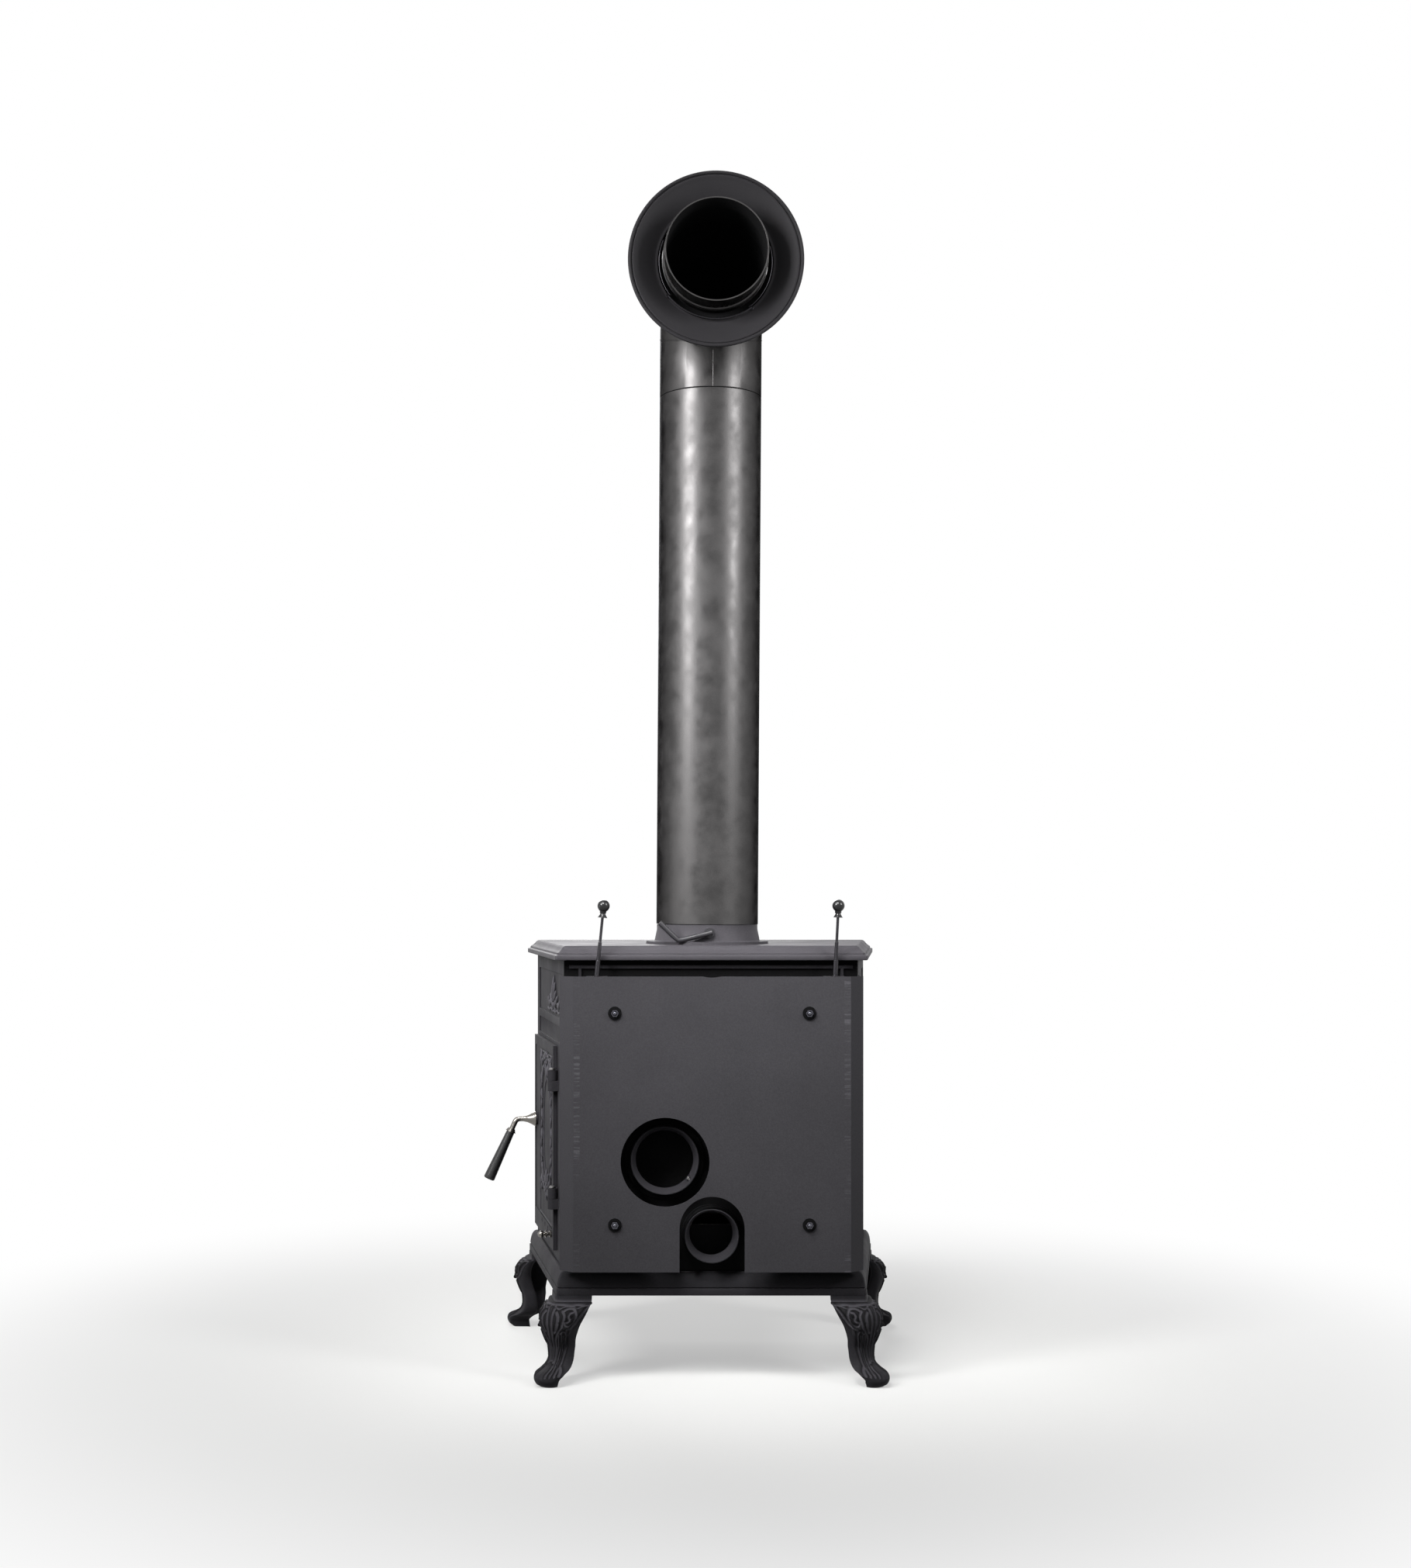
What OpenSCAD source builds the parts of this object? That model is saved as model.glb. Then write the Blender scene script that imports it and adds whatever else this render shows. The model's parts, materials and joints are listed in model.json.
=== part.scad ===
// Small cast-iron wood stove with a steel flue pipe, elbow and wall rosette.
// X runs across the stove, Y from its front to its rear, Z up from the floor.
// Right is the +X side, which carries the side door. All sizes are millimetres.

/* [Casing] */
// Width of the top plate along its rear edge
plate_rear_w = 442; // [420:1:480]
// Width of the top plate along its front edge
plate_front_w = 552; // [530:1:600]
// Depth of the top plate from front to rear
plate_depth = 386; // [370:1:430]
// Height of the legs
leg_h = 124; // [100:1:170]
// Height of the base casting
base_h = 33; // [28:1:42]
// Height of the walls between base and top plate
casing_h = 441.5; // [430:0.5:500]
// Thickness of the top plate
plate_t = 20.5; // [18:0.5:26]
// Thickness of the cast wall panels
wall_t = 7; // [5:0.5:9]
// How far the walls stand inside the edge of the top plate
wall_inset = 14.5; // [12:0.5:18]
// How far the base stands inside the edge of the top plate
base_inset = 2.5; // [0:0.5:5]

/* [Side door] */
// Width of the side door
side_door_w = 260; // [240:1:264]
// Height of the side door
side_door_h = 299; // [270:1:310]
// Height of the side door's lower edge above the base casting
side_door_rise = 14; // [10:1:30]
// Thickness of the side door's plate
side_door_t = 5.4; // [4.6:0.2:8]
// How far the side door overlaps its frame
side_door_lap = 10; // [9:0.5:12]

/* [Front door] */
// Width of the front door
front_door_w = 400; // [360:1:430]
// Height of the front door
front_door_h = 310; // [280:1:320]
// Height of the front door's lower edge above the base casting
front_door_rise = 79; // [75:1:90]
// Thickness of the front door's plate
front_door_t = 14; // [12:0.5:18]
// Width of the cast border round the window
front_door_border = 45; // [40:1:60]
// How far the front door overlaps its frame
front_door_lap = 12; // [11:0.5:14]
// Thickness of the window glass
glass_t = 4; // [3:0.5:5]

/* [Handles] */
// Length of a door handle's black grip
grip_len = 81; // [60:1:100]
// Radius of the grip at its thick end
grip_end_r = 8.8; // [7.5:0.1:11]
// Radius of the nickelled stem
stem_r = 4.2; // [3.6:0.1:5]
// Reach of the straight stem from the door frame's face
stem_reach = 33; // [30:1:45]
// Lean of the grip away from the vertical, in degrees
grip_lean = 25; // [10:1:40]

/* [Flue] */
// Radius of the flue pipe
pipe_r = 75; // [70:1:78]
// Length of the flue pipe
pipe_len = 776; // [500:1:1000]
// Lean of the pipe towards the left, in degrees
flue_lean = 0.37; // [0:0.01:0.6]
// Wall thickness of pipe and elbow
pipe_wall = 2; // [1.5:0.5:3]
// Distance of the flue's axis from the rear edge of the top plate
flue_inset = 136; // [125:1:150]
// Height of the flue collar between top plate and pipe
collar_h = 28.5; // [24:0.5:40]
// Radius of the elbow's bend, measured to the pipe's axis
elbow_r = 112; // [100:1:140]
// Length of the elbow below its bend
elbow_foot_h = 57; // [50:1:90]
// Reach of the elbow's outlet beyond its bend
outlet_len = 61; // [50:1:90]
// Radius of the wall rosette
rosette_r = 124.4; // [115:0.2:140]

/* [Rear] */
// Width of the flat face of the heat shield
shield_w = 390; // [370:1:400]
// Height of the heat shield
shield_h = 415; // [390:1:425]
// Distance of the heat shield behind the rear edge of the top plate
shield_stand = 20.5; // [18:0.5:30]
// Outer radius of the large air inlet
large_inlet_r = 48.5; // [44:0.5:50]
// Height of the large air inlet above the base casting
large_inlet_rise = 159; // [150:1:175]
// Sideways place of the large air inlet
large_inlet_x = 66; // [60:1:75]
// Outer radius of the small air inlet
small_inlet_r = 38.3; // [34:0.1:39]
// Height of the small air inlet above the base casting
small_inlet_rise = 54; // [52:1:56]
// Height to which the air rods' knobs stand above the top plate
rod_rise = 57; // [40:1:80]
// Sideways place of the right air rod
right_rod_x = 162; // [155:1:165]
// Sideways distance of the left air rod from the middle
left_rod_x = 174; // [165:1:176]
// Travel of the air shutters
shutter_travel = 20; // [12:1:20]

/* [Firebox] */
// Height of the grate carrier above the base casting
carrier_rise = 81; // [78:1:84]
// Thickness of the grate carrier
carrier_t = 8; // [6:0.5:10]
// Width of the grate
grate_w = 218; // [180:1:230]
// Depth of the grate
grate_d = 178; // [140:1:190]
// Thickness of the firebricks
brick_t = 25; // [20:1:30]
// Height of the firebricks
brick_h = 250; // [230:1:255]
// Thickness of the baffle plate
baffle_t = 8; // [6:0.5:12]
// Width of the ash drawer
drawer_w = 250; // [200:1:260]
// Length of the ash drawer
drawer_len = 295; // [240:1:300]
// Height of the ash drawer
drawer_h = 56; // [40:1:60]

/* [Hidden] */
$fn = 96;

// Clearances shared by the whole stove
over = 1;
run_gap = 0.05;
part_gap = 0.3;
slide_gap = 0.4;

// Heights of the casing
z_base = leg_h;
z_casing = z_base + base_h;
z_plate = z_casing + casing_h;
z_top = z_plate + plate_t;

// The plan is a trapezoid: slope is the sideways spread for each unit of depth
slope = (plate_front_w - plate_rear_w) / (2 * plate_depth);
side_a = atan(slope);
stretch = 1 / cos(side_a);
corner_r = 3.5;
corner_steps = 3;

function polar(r, a) = [r * cos(a), r * sin(a)];
function half_w(y, o) = (plate_rear_w + plate_front_w) / 4 - slope * y + o * stretch;
function end_y(o) = plate_depth / 2 + o;
function plan(o) = [
    [half_w(end_y(o), o), end_y(o)],
    [-half_w(end_y(o), o), end_y(o)],
    [-half_w(-end_y(o), o), -end_y(o)],
    [half_w(-end_y(o), o), -end_y(o)]
];
corner_a = [[side_a, 90], [90, 180 - side_a], [180 - side_a, 270], [270, 360 + side_a]];
function mix(a, b, t) = a + (b - a) * t;
function plan_ring(o) = [
    for (k = [0:3]) for (i = [0:corner_steps])
        plan(o - corner_r)[k] + polar(corner_r, mix(corner_a[k][0], corner_a[k][1], i / corner_steps))
];

// Walls of the casing
rear_y = end_y(-wall_inset);
front_y = -rear_y;
inner_o = -wall_inset - wall_t;
wall_len = (2 * rear_y - 2 * wall_t) * stretch;
side_w = half_w(0, -wall_inset);

// Top plate edge, from the band at the bottom to the rounded top
plate_band_h = 7;
plate_step_w = 3.6;
plate_step_h = 3;
plate_slope_w = 8.6;
plate_round = 2.8;

// Base casting
base_band_h = 10;
base_groove = 1;
skirt_t = 8;
floor_t = 8;
ovolo_steps = 6;

// Legs
leg_wing = 51;
leg_tie_inset = 34;
lug_in = 9;
lug_out = 48;
lug_chamfer = 24;

// Tie rods and nuts
tie_r = 4;
tie_hole_r = tie_r + slide_gap;
tie_bite = 12;
nut_r = 7.5;
nut_h = 6.5;
washer_r = 9;
washer_t = 1.6;

// Door furniture
knuckle_r = 7;
knuckle_h = 15;
hinge_pin_r = 3;
hinge_clear = 1;
hinge_stand = knuckle_r + hinge_clear;
pin_head_r = 4.5;
pin_head_h = 3;
door_gap = 0.6;
groove_w = 6;
groove_depth = 2.4;
gasket_w = 5.6;
spindle_r = 5;
latch_len = 30;
latch_w = 10;
latch_t = 5;
latch_set = 1;
boss_r = 10;
boss_t = 1.4;
rose_r = 11.5;
rose_len = 20;
stem_bend_r = 8;
bend_steps = 5;
bar_sides = 32;
neck_len = 11;
ferrule_len = 6;
ferrule_r = 8.4;
ferrule_top_r = 5;
grip_top_r = 6.3;
grip_round = 2;

// Side door, in the plane of its wall: y runs to the rear along the wall
side_door_y = -37;
side_door_z = z_casing + side_door_rise;
side_top_z = side_door_z + side_door_h;
side_rear_y = side_door_y + side_door_w / 2;
side_fore_y = side_door_y - side_door_w / 2;
side_hinge_y = side_rear_y + knuckle_r + door_gap;
side_hinge_rises = [62, 234];
side_hinge_zs = [for (h = side_hinge_rises) side_door_z + h];
side_latch_inset = 30;
side_latch_y = side_fore_y + side_latch_inset;
side_latch_rise = 168;
side_latch_z = side_door_z + side_latch_rise;
relief_depth = 1.2;
relief_margin = 14;
upper_panel_h = 64;
upper_panel_drop = 22;
mid_panel_h = 24;
mid_panel_rise = 6;
recess_depth = 2;
recess_margin = 20;

// Air slide in the side door
slide_plate_w = 160;
slide_plate_h = 10;
slide_plate_t = 3;
slide_travel = 22;
slide_hole_r = 3.5;
slide_hole_step = 40;
slide_inset = 21;
slide_knob_y = side_rear_y - slide_inset;
slide_z = side_door_z + slide_inset;
slide_stud_r = 2.5;
rail_w = 3;
rail_lip = 1.5;
rail_lip_t = 2;
small_knob_len = 25.6;
small_knob_r = 5;

// Front door, in the plane of the front: y runs to the left along it
front_door_z = z_casing + front_door_rise;
front_top_z = front_door_z + front_door_h;
front_hinge_y = front_door_w / 2 + knuckle_r + door_gap;
front_hinge_rises = [45, 235];
front_hinge_zs = [for (h = front_hinge_rises) front_door_z + h];
front_latch_inset = 28;
front_latch_y = -front_door_w / 2 + front_latch_inset;
front_latch_z = front_door_z + front_door_h / 2;
glass_rebate = 6;
clip_w = 24;
clip_h = 12;
clip_inset = 7;

// Ash drawer and its front
drawer_sheet = 2;
drawer_front_w = 268;
drawer_front_h = 60;
drawer_front_t = 8;
drawer_front_gap = 0.5;
drawer_hole_h = 62;
drawer_hole_w = 256;
drawer_lift = 0.4;
drawer_knob_rise = 32;
drawer_knob_z = z_casing + drawer_knob_rise;

// Flue: heights and places
flue_y = end_y(0) - flue_inset;
z_pipe = z_top + collar_h;
z_joint = z_pipe + pipe_len;
joint_gap = 0.3;
collar_top_in = 0.7;
collar_top_r = pipe_r - collar_top_in;
collar_foot_out = 2.6;
collar_foot_r = pipe_r + collar_foot_out;
collar_wall = 6;
collar_flange_w = 15;
collar_flange_r = pipe_r + collar_flange_w;
collar_flange_t = 4;
collar_spigot_h = 30;
spigot_gap = 0.1;
collar_spigot_gap = 0.45;
flue_hole_r = 66;
collar_bolt_pcd_r = 82;
collar_bolt_r = 3;
collar_bolt_head_r = 5.5;
collar_bolt_head_h = 4.5;
damper_rise = 17;
damper_z = z_top + damper_rise;
damper_r = 62;
damper_t = 4;
damper_rib_len = 116;
damper_rib_t = 2.5;
damper_spindle_r = 4;
damper_boss_r = 8;
damper_boss_len = 2.5;
damper_washer_r = 7.2;
damper_washer_t = 2.6;
damper_rod_r = 3.8;
damper_seat_share = 0.9;
damper_bend = [45, -11.4];
damper_end = [72, 15];
elbow_male_len = 30;
elbow_pieces = 4;
elbow_sides = 72;
bend_y = flue_y + elbow_r;
bend_z = z_joint + elbow_foot_h;
outlet_z = bend_z + elbow_r;
outlet_y = bend_y + outlet_len;
outlet_r = pipe_r - pipe_wall;
outlet_male_len = 35;
outlet_band = 5;
outlet_band_y = outlet_y - outlet_male_len - outlet_band;

// Wall rosette: a dished ring that hangs on the outlet
rosette_hole_r = 81.8;
rosette_dish = 18.5;
rosette_sheet = 1;
rosette_rim_r = 2.4;
rosette_back = 23.3;
rosette_rim_y = outlet_y - rosette_back;
rosette_z = outlet_z - (rosette_hole_r - pipe_r - part_gap);
spring_r = 1.2;
spring_bow_r = 87.5;
spring_hook_a = [-36.4, -128.4];
hook_size = 5;

// Heat shield and its fixings
shield_t = 1.5;
shield_flange = 19.5;
shield_rise = 4.5;
shield_z = z_casing + shield_rise;
shield_y = end_y(0) + shield_stand;
shield_bolt_x = 136.5;
shield_bolt_rises = [71, 368];
shield_bolt_zs = [for (h = shield_bolt_rises) z_casing + h];
shield_bolt_r = 3;
shield_washer_r = 9.5;
shield_washer_t = 1.5;
shield_nut_r = 5.4;
shield_nut_h = 4;
shield_dome_r = 3.4;
spacer_r = 8;
inlet_window_r = 62.4;
inlet_notch_r = 45.7;
notch_rise = 11;
top_nick_r = 50;
top_nick = 1.6;

// Air inlets
inlet_wall = 4;
inlet_flange_t = 4;
inlet_flange_w = 8;
large_inlet_len = 19;
small_inlet_len = 29;
small_flange_w = 3;
large_inlet_z = z_casing + large_inlet_rise;
small_inlet_z = z_casing + small_inlet_rise;
inlet_screw_r = 2;
inlet_screw_a = -142;
inlet_screw_stand = 2;
inlet_screw_len = inlet_wall + inlet_screw_stand - slide_gap;

// Rear panel
rail_drop = 12;
rail_z = z_plate - rail_drop;
rail_h = 4.5;
rail_proud = 3;
rib_x = 186;
rib_w = 4;
rib_h = 12;
air_hole_r = 9;
air_hole_drop = 64.5;

// Air shutters and their rods
shutter_w = 30;
shutter_h = 52;
shutter_t = 2.5;
shutter_gap = 0.5;
shutter_y = rear_y + rail_proud + shutter_gap;
shutter_drop = 22.5;
shutter_z = z_plate - shutter_drop - shutter_h;
guide_w = 6;
guide_drop = 64;
guide_h = 30;
guide_t = 3;
guide_lip = 3;
tab_t = 3;
tab_w = 16;
rod_stand = 7;
rod_y = end_y(0) + rod_stand;
rod_sleeve_r = 3.6;
rod_sleeve_h = 22;
rod_foot_r = 4.8;
rod_foot_h = 1.5;
rod_seat = rod_foot_h / 2;
rod_mid_r = 2.7;
rod_mid_h = 26;
rod_r = 2;
right_rod_lean = -5.6;
left_rod_lean = 2.8;
knob_r = 8.7;
knob_neck_r = 3.6;
knob_skirt_r = 7;
knob_skirt_h = 8;

// Firebox
z_carrier = z_casing + carrier_rise;
carrier_gap = 3;
baffle_ledge_w = 8;
ledge_w = 12;
ledge_t = 8;
grate_lip = 6;
grate_t = 10;
grate_rim = 10;
grate_slots = 9;
grate_y = -10;
grate_bar_share = 0.45;
carrier_rebate = 4;
air_box_headroom = 38.5;
air_box_h = casing_h - carrier_rise - carrier_t - air_box_headroom;
air_box_w = 364;
air_box_t = 2;
air_box_depth = 20;
brick_gap = 1;
left_brick_span = [-150, 128];
rear_brick_w = 400;
baffle_fore_y = -80;
baffle_gap = 4;
retainer_t = 8;
retainer_h = 36;
retainer_w = 360;
retainer_y = -142;
retainer_foot = 26;

// A box between two corners
module block(x0, x1, y0, y1, z0, z1) {
    translate([x0, y0, z0]) cube([x1 - x0, y1 - y0, z1 - z0]);
}

// A flat rectangular ring in the YZ plane
module frame_ring(x0, x1, y0, y1, z0, z1, w) {
    difference() {
        block(x0, x1, y0, y1, z0, z1);
        block(x0 - over, x1 + over, y0 + w, y1 - w, z0 + w, z1 - w);
    }
}

// A closed skin over rings of points, given from the bottom up
module skin(rings, flip = false) {
    n = len(rings[0]);
    m = len(rings);
    pts = [for (ring = rings) each ring];
    sides = [
        for (k = [0:m - 2]) for (i = [0:n - 1]) let (j = (i + 1) % n)
            each [[k * n + i, (k + 1) * n + i, (k + 1) * n + j], [k * n + i, (k + 1) * n + j, k * n + j]]
    ];
    bottom = [for (i = [0:n - 1]) i];
    top = [for (i = [0:n - 1]) (m - 1) * n + n - 1 - i];
    faces = concat(sides, [bottom], [top]);
    turned = [for (f = faces) [for (i = [len(f) - 1:-1:0]) f[i]]];
    polyhedron(points = pts, faces = flip ? turned : faces, convexity = 6);
}

// Rings and direction of a round bar bent in the XZ plane, a degrees below the X axis
function bar_way(a) = [cos(a), 0, -sin(a)];
function bar_ring(p, a, r) = [
    for (i = [0:bar_sides - 1]) let (t = 360 * i / bar_sides)
        p + r * [sin(a) * sin(t), cos(t), cos(a) * sin(t)]
];

// A casting whose edge follows the plan, from levels of [height, offset]
module plan_stack(levels) {
    skin([for (l = levels) [for (p = plan_ring(l[1])) [p[0], p[1], l[0]]]]);
}

// A flat slab in the shape of the plan, between two heights and two places in depth
module plan_slab(z0, z1, o, y0, y1) {
    translate([0, 0, z0]) linear_extrude(height = z1 - z0)
        polygon([[half_w(y1, o), y1], [-half_w(y1, o), y1], [-half_w(y0, o), y0], [half_w(y0, o), y0]]);
}

// Places children in the plane of a wall: x outward, y along it, z up
module on_right() {
    translate([side_w, 0, 0]) rotate([0, 0, side_a]) children();
}
module on_left() {
    mirror([1, 0, 0]) on_right() children();
}
module on_front() {
    translate([0, front_y, 0]) rotate([0, 0, -90]) mirror([0, 1, 0]) children();
}

// A round bar or profile whose axis points outward along x
module outward() {
    rotate([0, 90, 0]) children();
}

// Base with a band, an ovolo and a hollow underside
function ovolo(i) = [
    z_base + base_band_h + (base_h - base_band_h) * sin(90 * i / ovolo_steps),
    -wall_inset + 1.5 * base_groove
        + (wall_inset - base_inset - 2.5 * base_groove) * cos(90 * i / ovolo_steps)
];
module base_casting() {
    levels = concat(
        [[z_base, -base_inset], [z_base + base_band_h, -base_inset]],
        [for (i = [0:ovolo_steps]) ovolo(i)]
    );
    color("#3a3a3d") difference() {
        plan_stack(levels);
        translate([0, 0, z_base - over]) linear_extrude(height = base_h - floor_t + over)
            polygon(plan(-base_inset - skirt_t));
        for (p = plan(-leg_tie_inset))
            translate([p[0], p[1], z_base]) cylinder(h = base_h + over, r = tie_hole_r);
    }
}

// Legs: rows of [height, wing length, outward shift, wing thickness, swell] as shares
// of leg height and wing length, from the foot up
leg_rows_share = [
    [0.000, 0.42, 0.44, 0.400, 0.06],
    [0.030, 0.52, 0.54, 0.480, 0.06],
    [0.090, 0.62, 0.60, 0.520, 0.06],
    [0.140, 0.70, 0.55, 0.520, 0.06],
    [0.180, 0.68, 0.38, 0.460, 0.05],
    [0.230, 0.64, 0.24, 0.400, 0.05],
    [0.320, 0.62, 0.15, 0.340, 0.06],
    [0.420, 0.64, 0.14, 0.300, 0.08],
    [0.520, 0.70, 0.19, 0.270, 0.13],
    [0.610, 0.79, 0.23, 0.250, 0.17],
    [0.700, 0.90, 0.26, 0.240, 0.19],
    [0.780, 1.00, 0.25, 0.230, 0.18],
    [0.860, 1.05, 0.19, 0.220, 0.13],
    [0.915, 1.04, 0.09, 0.210, 0.06],
    [0.925, 1.00, 0.04, 0.210, 0.00],
    [1.000, 1.00, 0.02, 0.210, 0.00]
];
function leg_section(w, s, t, b) = [
    for (p = [
        [w, 0.10 * t], [0.72 * w, -0.75 * b], [0.42 * w, -b], [0.20 * w, -0.55 * b], [0.04 * w, 0.04 * w],
        [-0.55 * b, 0.20 * w], [-b, 0.42 * w], [-0.75 * b, 0.72 * w], [0.10 * t, w],
        [t, 0.98 * w], [1.05 * t, mix(t, w, 0.5)], [1.15 * t, 1.15 * t], [mix(t, w, 0.5), 1.05 * t],
        [0.98 * w, t]
    ]) p - [s, s]
];
function leg_point(corner, fore, p, z) =
    let (along = [-1, 0], down = [fore ? -slope : slope, fore ? 1 : -1] / norm([slope, 1]))
    [each (corner + p[0] * along + p[1] * down), z];
module leg(fore) {
    corner = plan(-base_inset)[fore ? 3 : 0];
    rings = [
        for (row = leg_rows_share)
            let (sec = leg_section(row[1] * leg_wing, row[2] * leg_wing, row[3] * leg_wing,
                row[4] * leg_wing))
            [for (p = sec) leg_point(corner, fore, p, row[0] * leg_h)]
    ];
    lug = [
        [lug_in, lug_in], [lug_out, lug_in], [lug_out, lug_chamfer], [lug_chamfer, lug_out], [lug_in, lug_out]
    ];
    tie = plan(-leg_tie_inset)[fore ? 3 : 0];
    difference() {
        union() {
            skin(rings, !fore);
            translate([0, 0, z_base]) linear_extrude(height = base_h - floor_t)
                polygon([for (p = lug) let (q = leg_point(corner, fore, p, 0)) [q[0], q[1]]]);
        }
        translate([tie[0], tie[1], z_base - over]) cylinder(h = base_h + 2 * over, r = tie_hole_r);
    }
}
module leg_rear_right() color("#38383b") leg(false);
module leg_rear_left() color("#38383b") mirror([1, 0, 0]) leg(false);
module leg_front_right() color("#38383b") leg(true);
module leg_front_left() color("#38383b") mirror([1, 0, 0]) leg(true);

// Tie rods run from the legs through the base into the top plate
module tie_rods() {
    low = z_base - washer_t - nut_h - tie_r;
    color("#77777a") for (p = plan(-leg_tie_inset))
        translate([p[0], p[1], low]) cylinder(h = z_plate + tie_bite - low, r = tie_r);
}
module leg_nuts() {
    z = z_base - washer_t;
    color("#6d6d70") for (p = plan(-leg_tie_inset)) translate([p[0], p[1], z]) difference() {
        union() {
            cylinder(h = washer_t, r = washer_r);
            translate([0, 0, -nut_h]) cylinder(h = nut_h, r = nut_r, $fn = 6);
        }
        translate([0, 0, -nut_h - over]) cylinder(h = nut_h + washer_t + 2 * over, r = tie_r + run_gap);
    }
}

// Panels of a side wall, with the recesses of its casting
module side_wall() {
    half = wall_len / 2;
    recess_y = half - recess_margin;
    difference() {
        translate([0, 0, z_casing]) linear_extrude(height = casing_h) polygon([
            [0, -half], [0, half], [-wall_t, half + wall_t * slope], [-wall_t, -half + wall_t * slope]
        ]);
        block(-recess_depth, over, -recess_y, recess_y, z_plate - upper_panel_drop - upper_panel_h,
            z_plate - upper_panel_drop);
        block(-recess_depth, over, -recess_y, recess_y, side_top_z + mid_panel_rise,
            side_top_z + mid_panel_rise + mid_panel_h);
    }
}
module left_side_panel() {
    color("#39393c") on_left() difference() {
        side_wall();
        block(-recess_depth, over, side_fore_y, side_rear_y, side_door_z, side_top_z);
    }
}

// Knuckles of a hinge: the frame's lie below, the door's above
module knuckle(y, z, reach) {
    difference() {
        union() {
            translate([hinge_stand, y, z]) cylinder(h = knuckle_h, r = knuckle_r);
            children();
        }
        translate([hinge_stand, y, z - over]) cylinder(h = knuckle_h + 2 * over, r = hinge_pin_r + run_gap);
    }
}
module frame_knuckles(y, zs) {
    for (z = zs) knuckle(y, z)
        block(0, hinge_stand, y, y + knuckle_r, z, z + knuckle_h);
}
module door_knuckles(y, zs, back, face) {
    for (z = zs) knuckle(y, z + knuckle_h + part_gap)
        block(back, face, y - 3 * knuckle_r, y, z + knuckle_h + part_gap, z + 2 * knuckle_h + part_gap);
}
module hinge_pins(y, zs) {
    for (z = zs) translate([hinge_stand, y, z]) {
        cylinder(h = 2 * knuckle_h + 2 * part_gap, r = hinge_pin_r);
        translate([0, 0, 2 * knuckle_h + 2 * part_gap]) cylinder(h = pin_head_h, r = pin_head_r);
    }
}

module right_side_frame() {
    lug_z = z_carrier + carrier_t + brick_h;
    color("#39393c") on_right() {
        difference() {
            side_wall();
            block(-wall_t - over, over, side_fore_y + side_door_lap, side_rear_y - side_door_lap,
                side_door_z + side_door_lap, side_top_z - side_door_lap);
        }
        frame_knuckles(side_hinge_y, side_hinge_zs);
        block(-wall_t - baffle_ledge_w, -wall_t, baffle_fore_y, left_brick_span[1], lug_z - ledge_t, lug_z);
    }
}

// Rear panel with the inlets' holes, two air holes and the ledge of the grate carrier
module rear_panel() {
    color("#2e2e30") difference() {
        union() {
            plan_slab(z_casing, z_plate, -wall_inset, rear_y - wall_t, rear_y);
            block(-half_w(rear_y, inner_o), half_w(rear_y, inner_o), rear_y, rear_y + rail_proud,
                rail_z, rail_z + rail_h);
            for (x = [-rib_x, rib_x])
                block(x - rib_w / 2, x + rib_w / 2, rear_y, rear_y + rail_proud, rail_z - rib_h, rail_z);
            block(-air_box_w / 2, air_box_w / 2, rear_y - wall_t - ledge_w, rear_y - wall_t,
                z_carrier - ledge_t, z_carrier);
        }
        through_rear(large_inlet_x, large_inlet_z, large_inlet_r - inlet_wall);
        through_rear(0, small_inlet_z, small_inlet_r - inlet_wall);
        through_rear(right_rod_x, z_plate - air_hole_drop, air_hole_r);
        through_rear(-left_rod_x, z_plate - air_hole_drop, air_hole_r);
    }
}
module through_rear(x, z, r) {
    translate([x, rear_y + over, z]) rotate([90, 0, 0])
        cylinder(h = wall_t + ledge_w + 2 * over, r = r);
}

module front_frame() {
    color("#39393c") {
        difference() {
            plan_slab(z_casing, z_plate, -wall_inset, front_y, front_y + wall_t);
            on_front() block(-wall_t - over, over,
                -front_door_w / 2 + front_door_lap, front_door_w / 2 - front_door_lap,
                front_door_z + front_door_lap, front_top_z - front_door_lap);
            on_front() block(-wall_t - over, over, -drawer_hole_w / 2, drawer_hole_w / 2,
                z_casing - over, z_casing + drawer_hole_h);
        }
        block(-air_box_w / 2, air_box_w / 2, front_y + wall_t, front_y + wall_t + ledge_w,
            z_carrier - ledge_t, z_carrier);
        on_front() frame_knuckles(front_hinge_y, front_hinge_zs);
    }
}

module top_plate() {
    edge = [
        [z_plate, 0],
        [z_plate + plate_band_h, 0],
        [z_plate + plate_band_h + plate_step_h / 3, -plate_step_w],
        [z_plate + plate_band_h + plate_step_h, -plate_step_w],
        [z_top - plate_round, -plate_step_w - plate_slope_w],
        [z_top - plate_round / 4, -plate_step_w - plate_slope_w - plate_round / 2],
        [z_top, -plate_step_w - plate_slope_w - plate_round]
    ];
    color("#47474a") difference() {
        plan_stack(edge);
        translate([0, flue_y, z_plate - over]) cylinder(h = plate_t + 2 * over, r = flue_hole_r);
        for (p = plan(-leg_tie_inset))
            translate([p[0], p[1], z_plate - over]) cylinder(h = tie_bite + 2 * over, r = tie_r + run_gap);
        each_collar_bolt() translate([0, 0, z_plate - over])
            cylinder(h = plate_t + 2 * over, r = collar_bolt_r + run_gap);
    }
}

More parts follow.
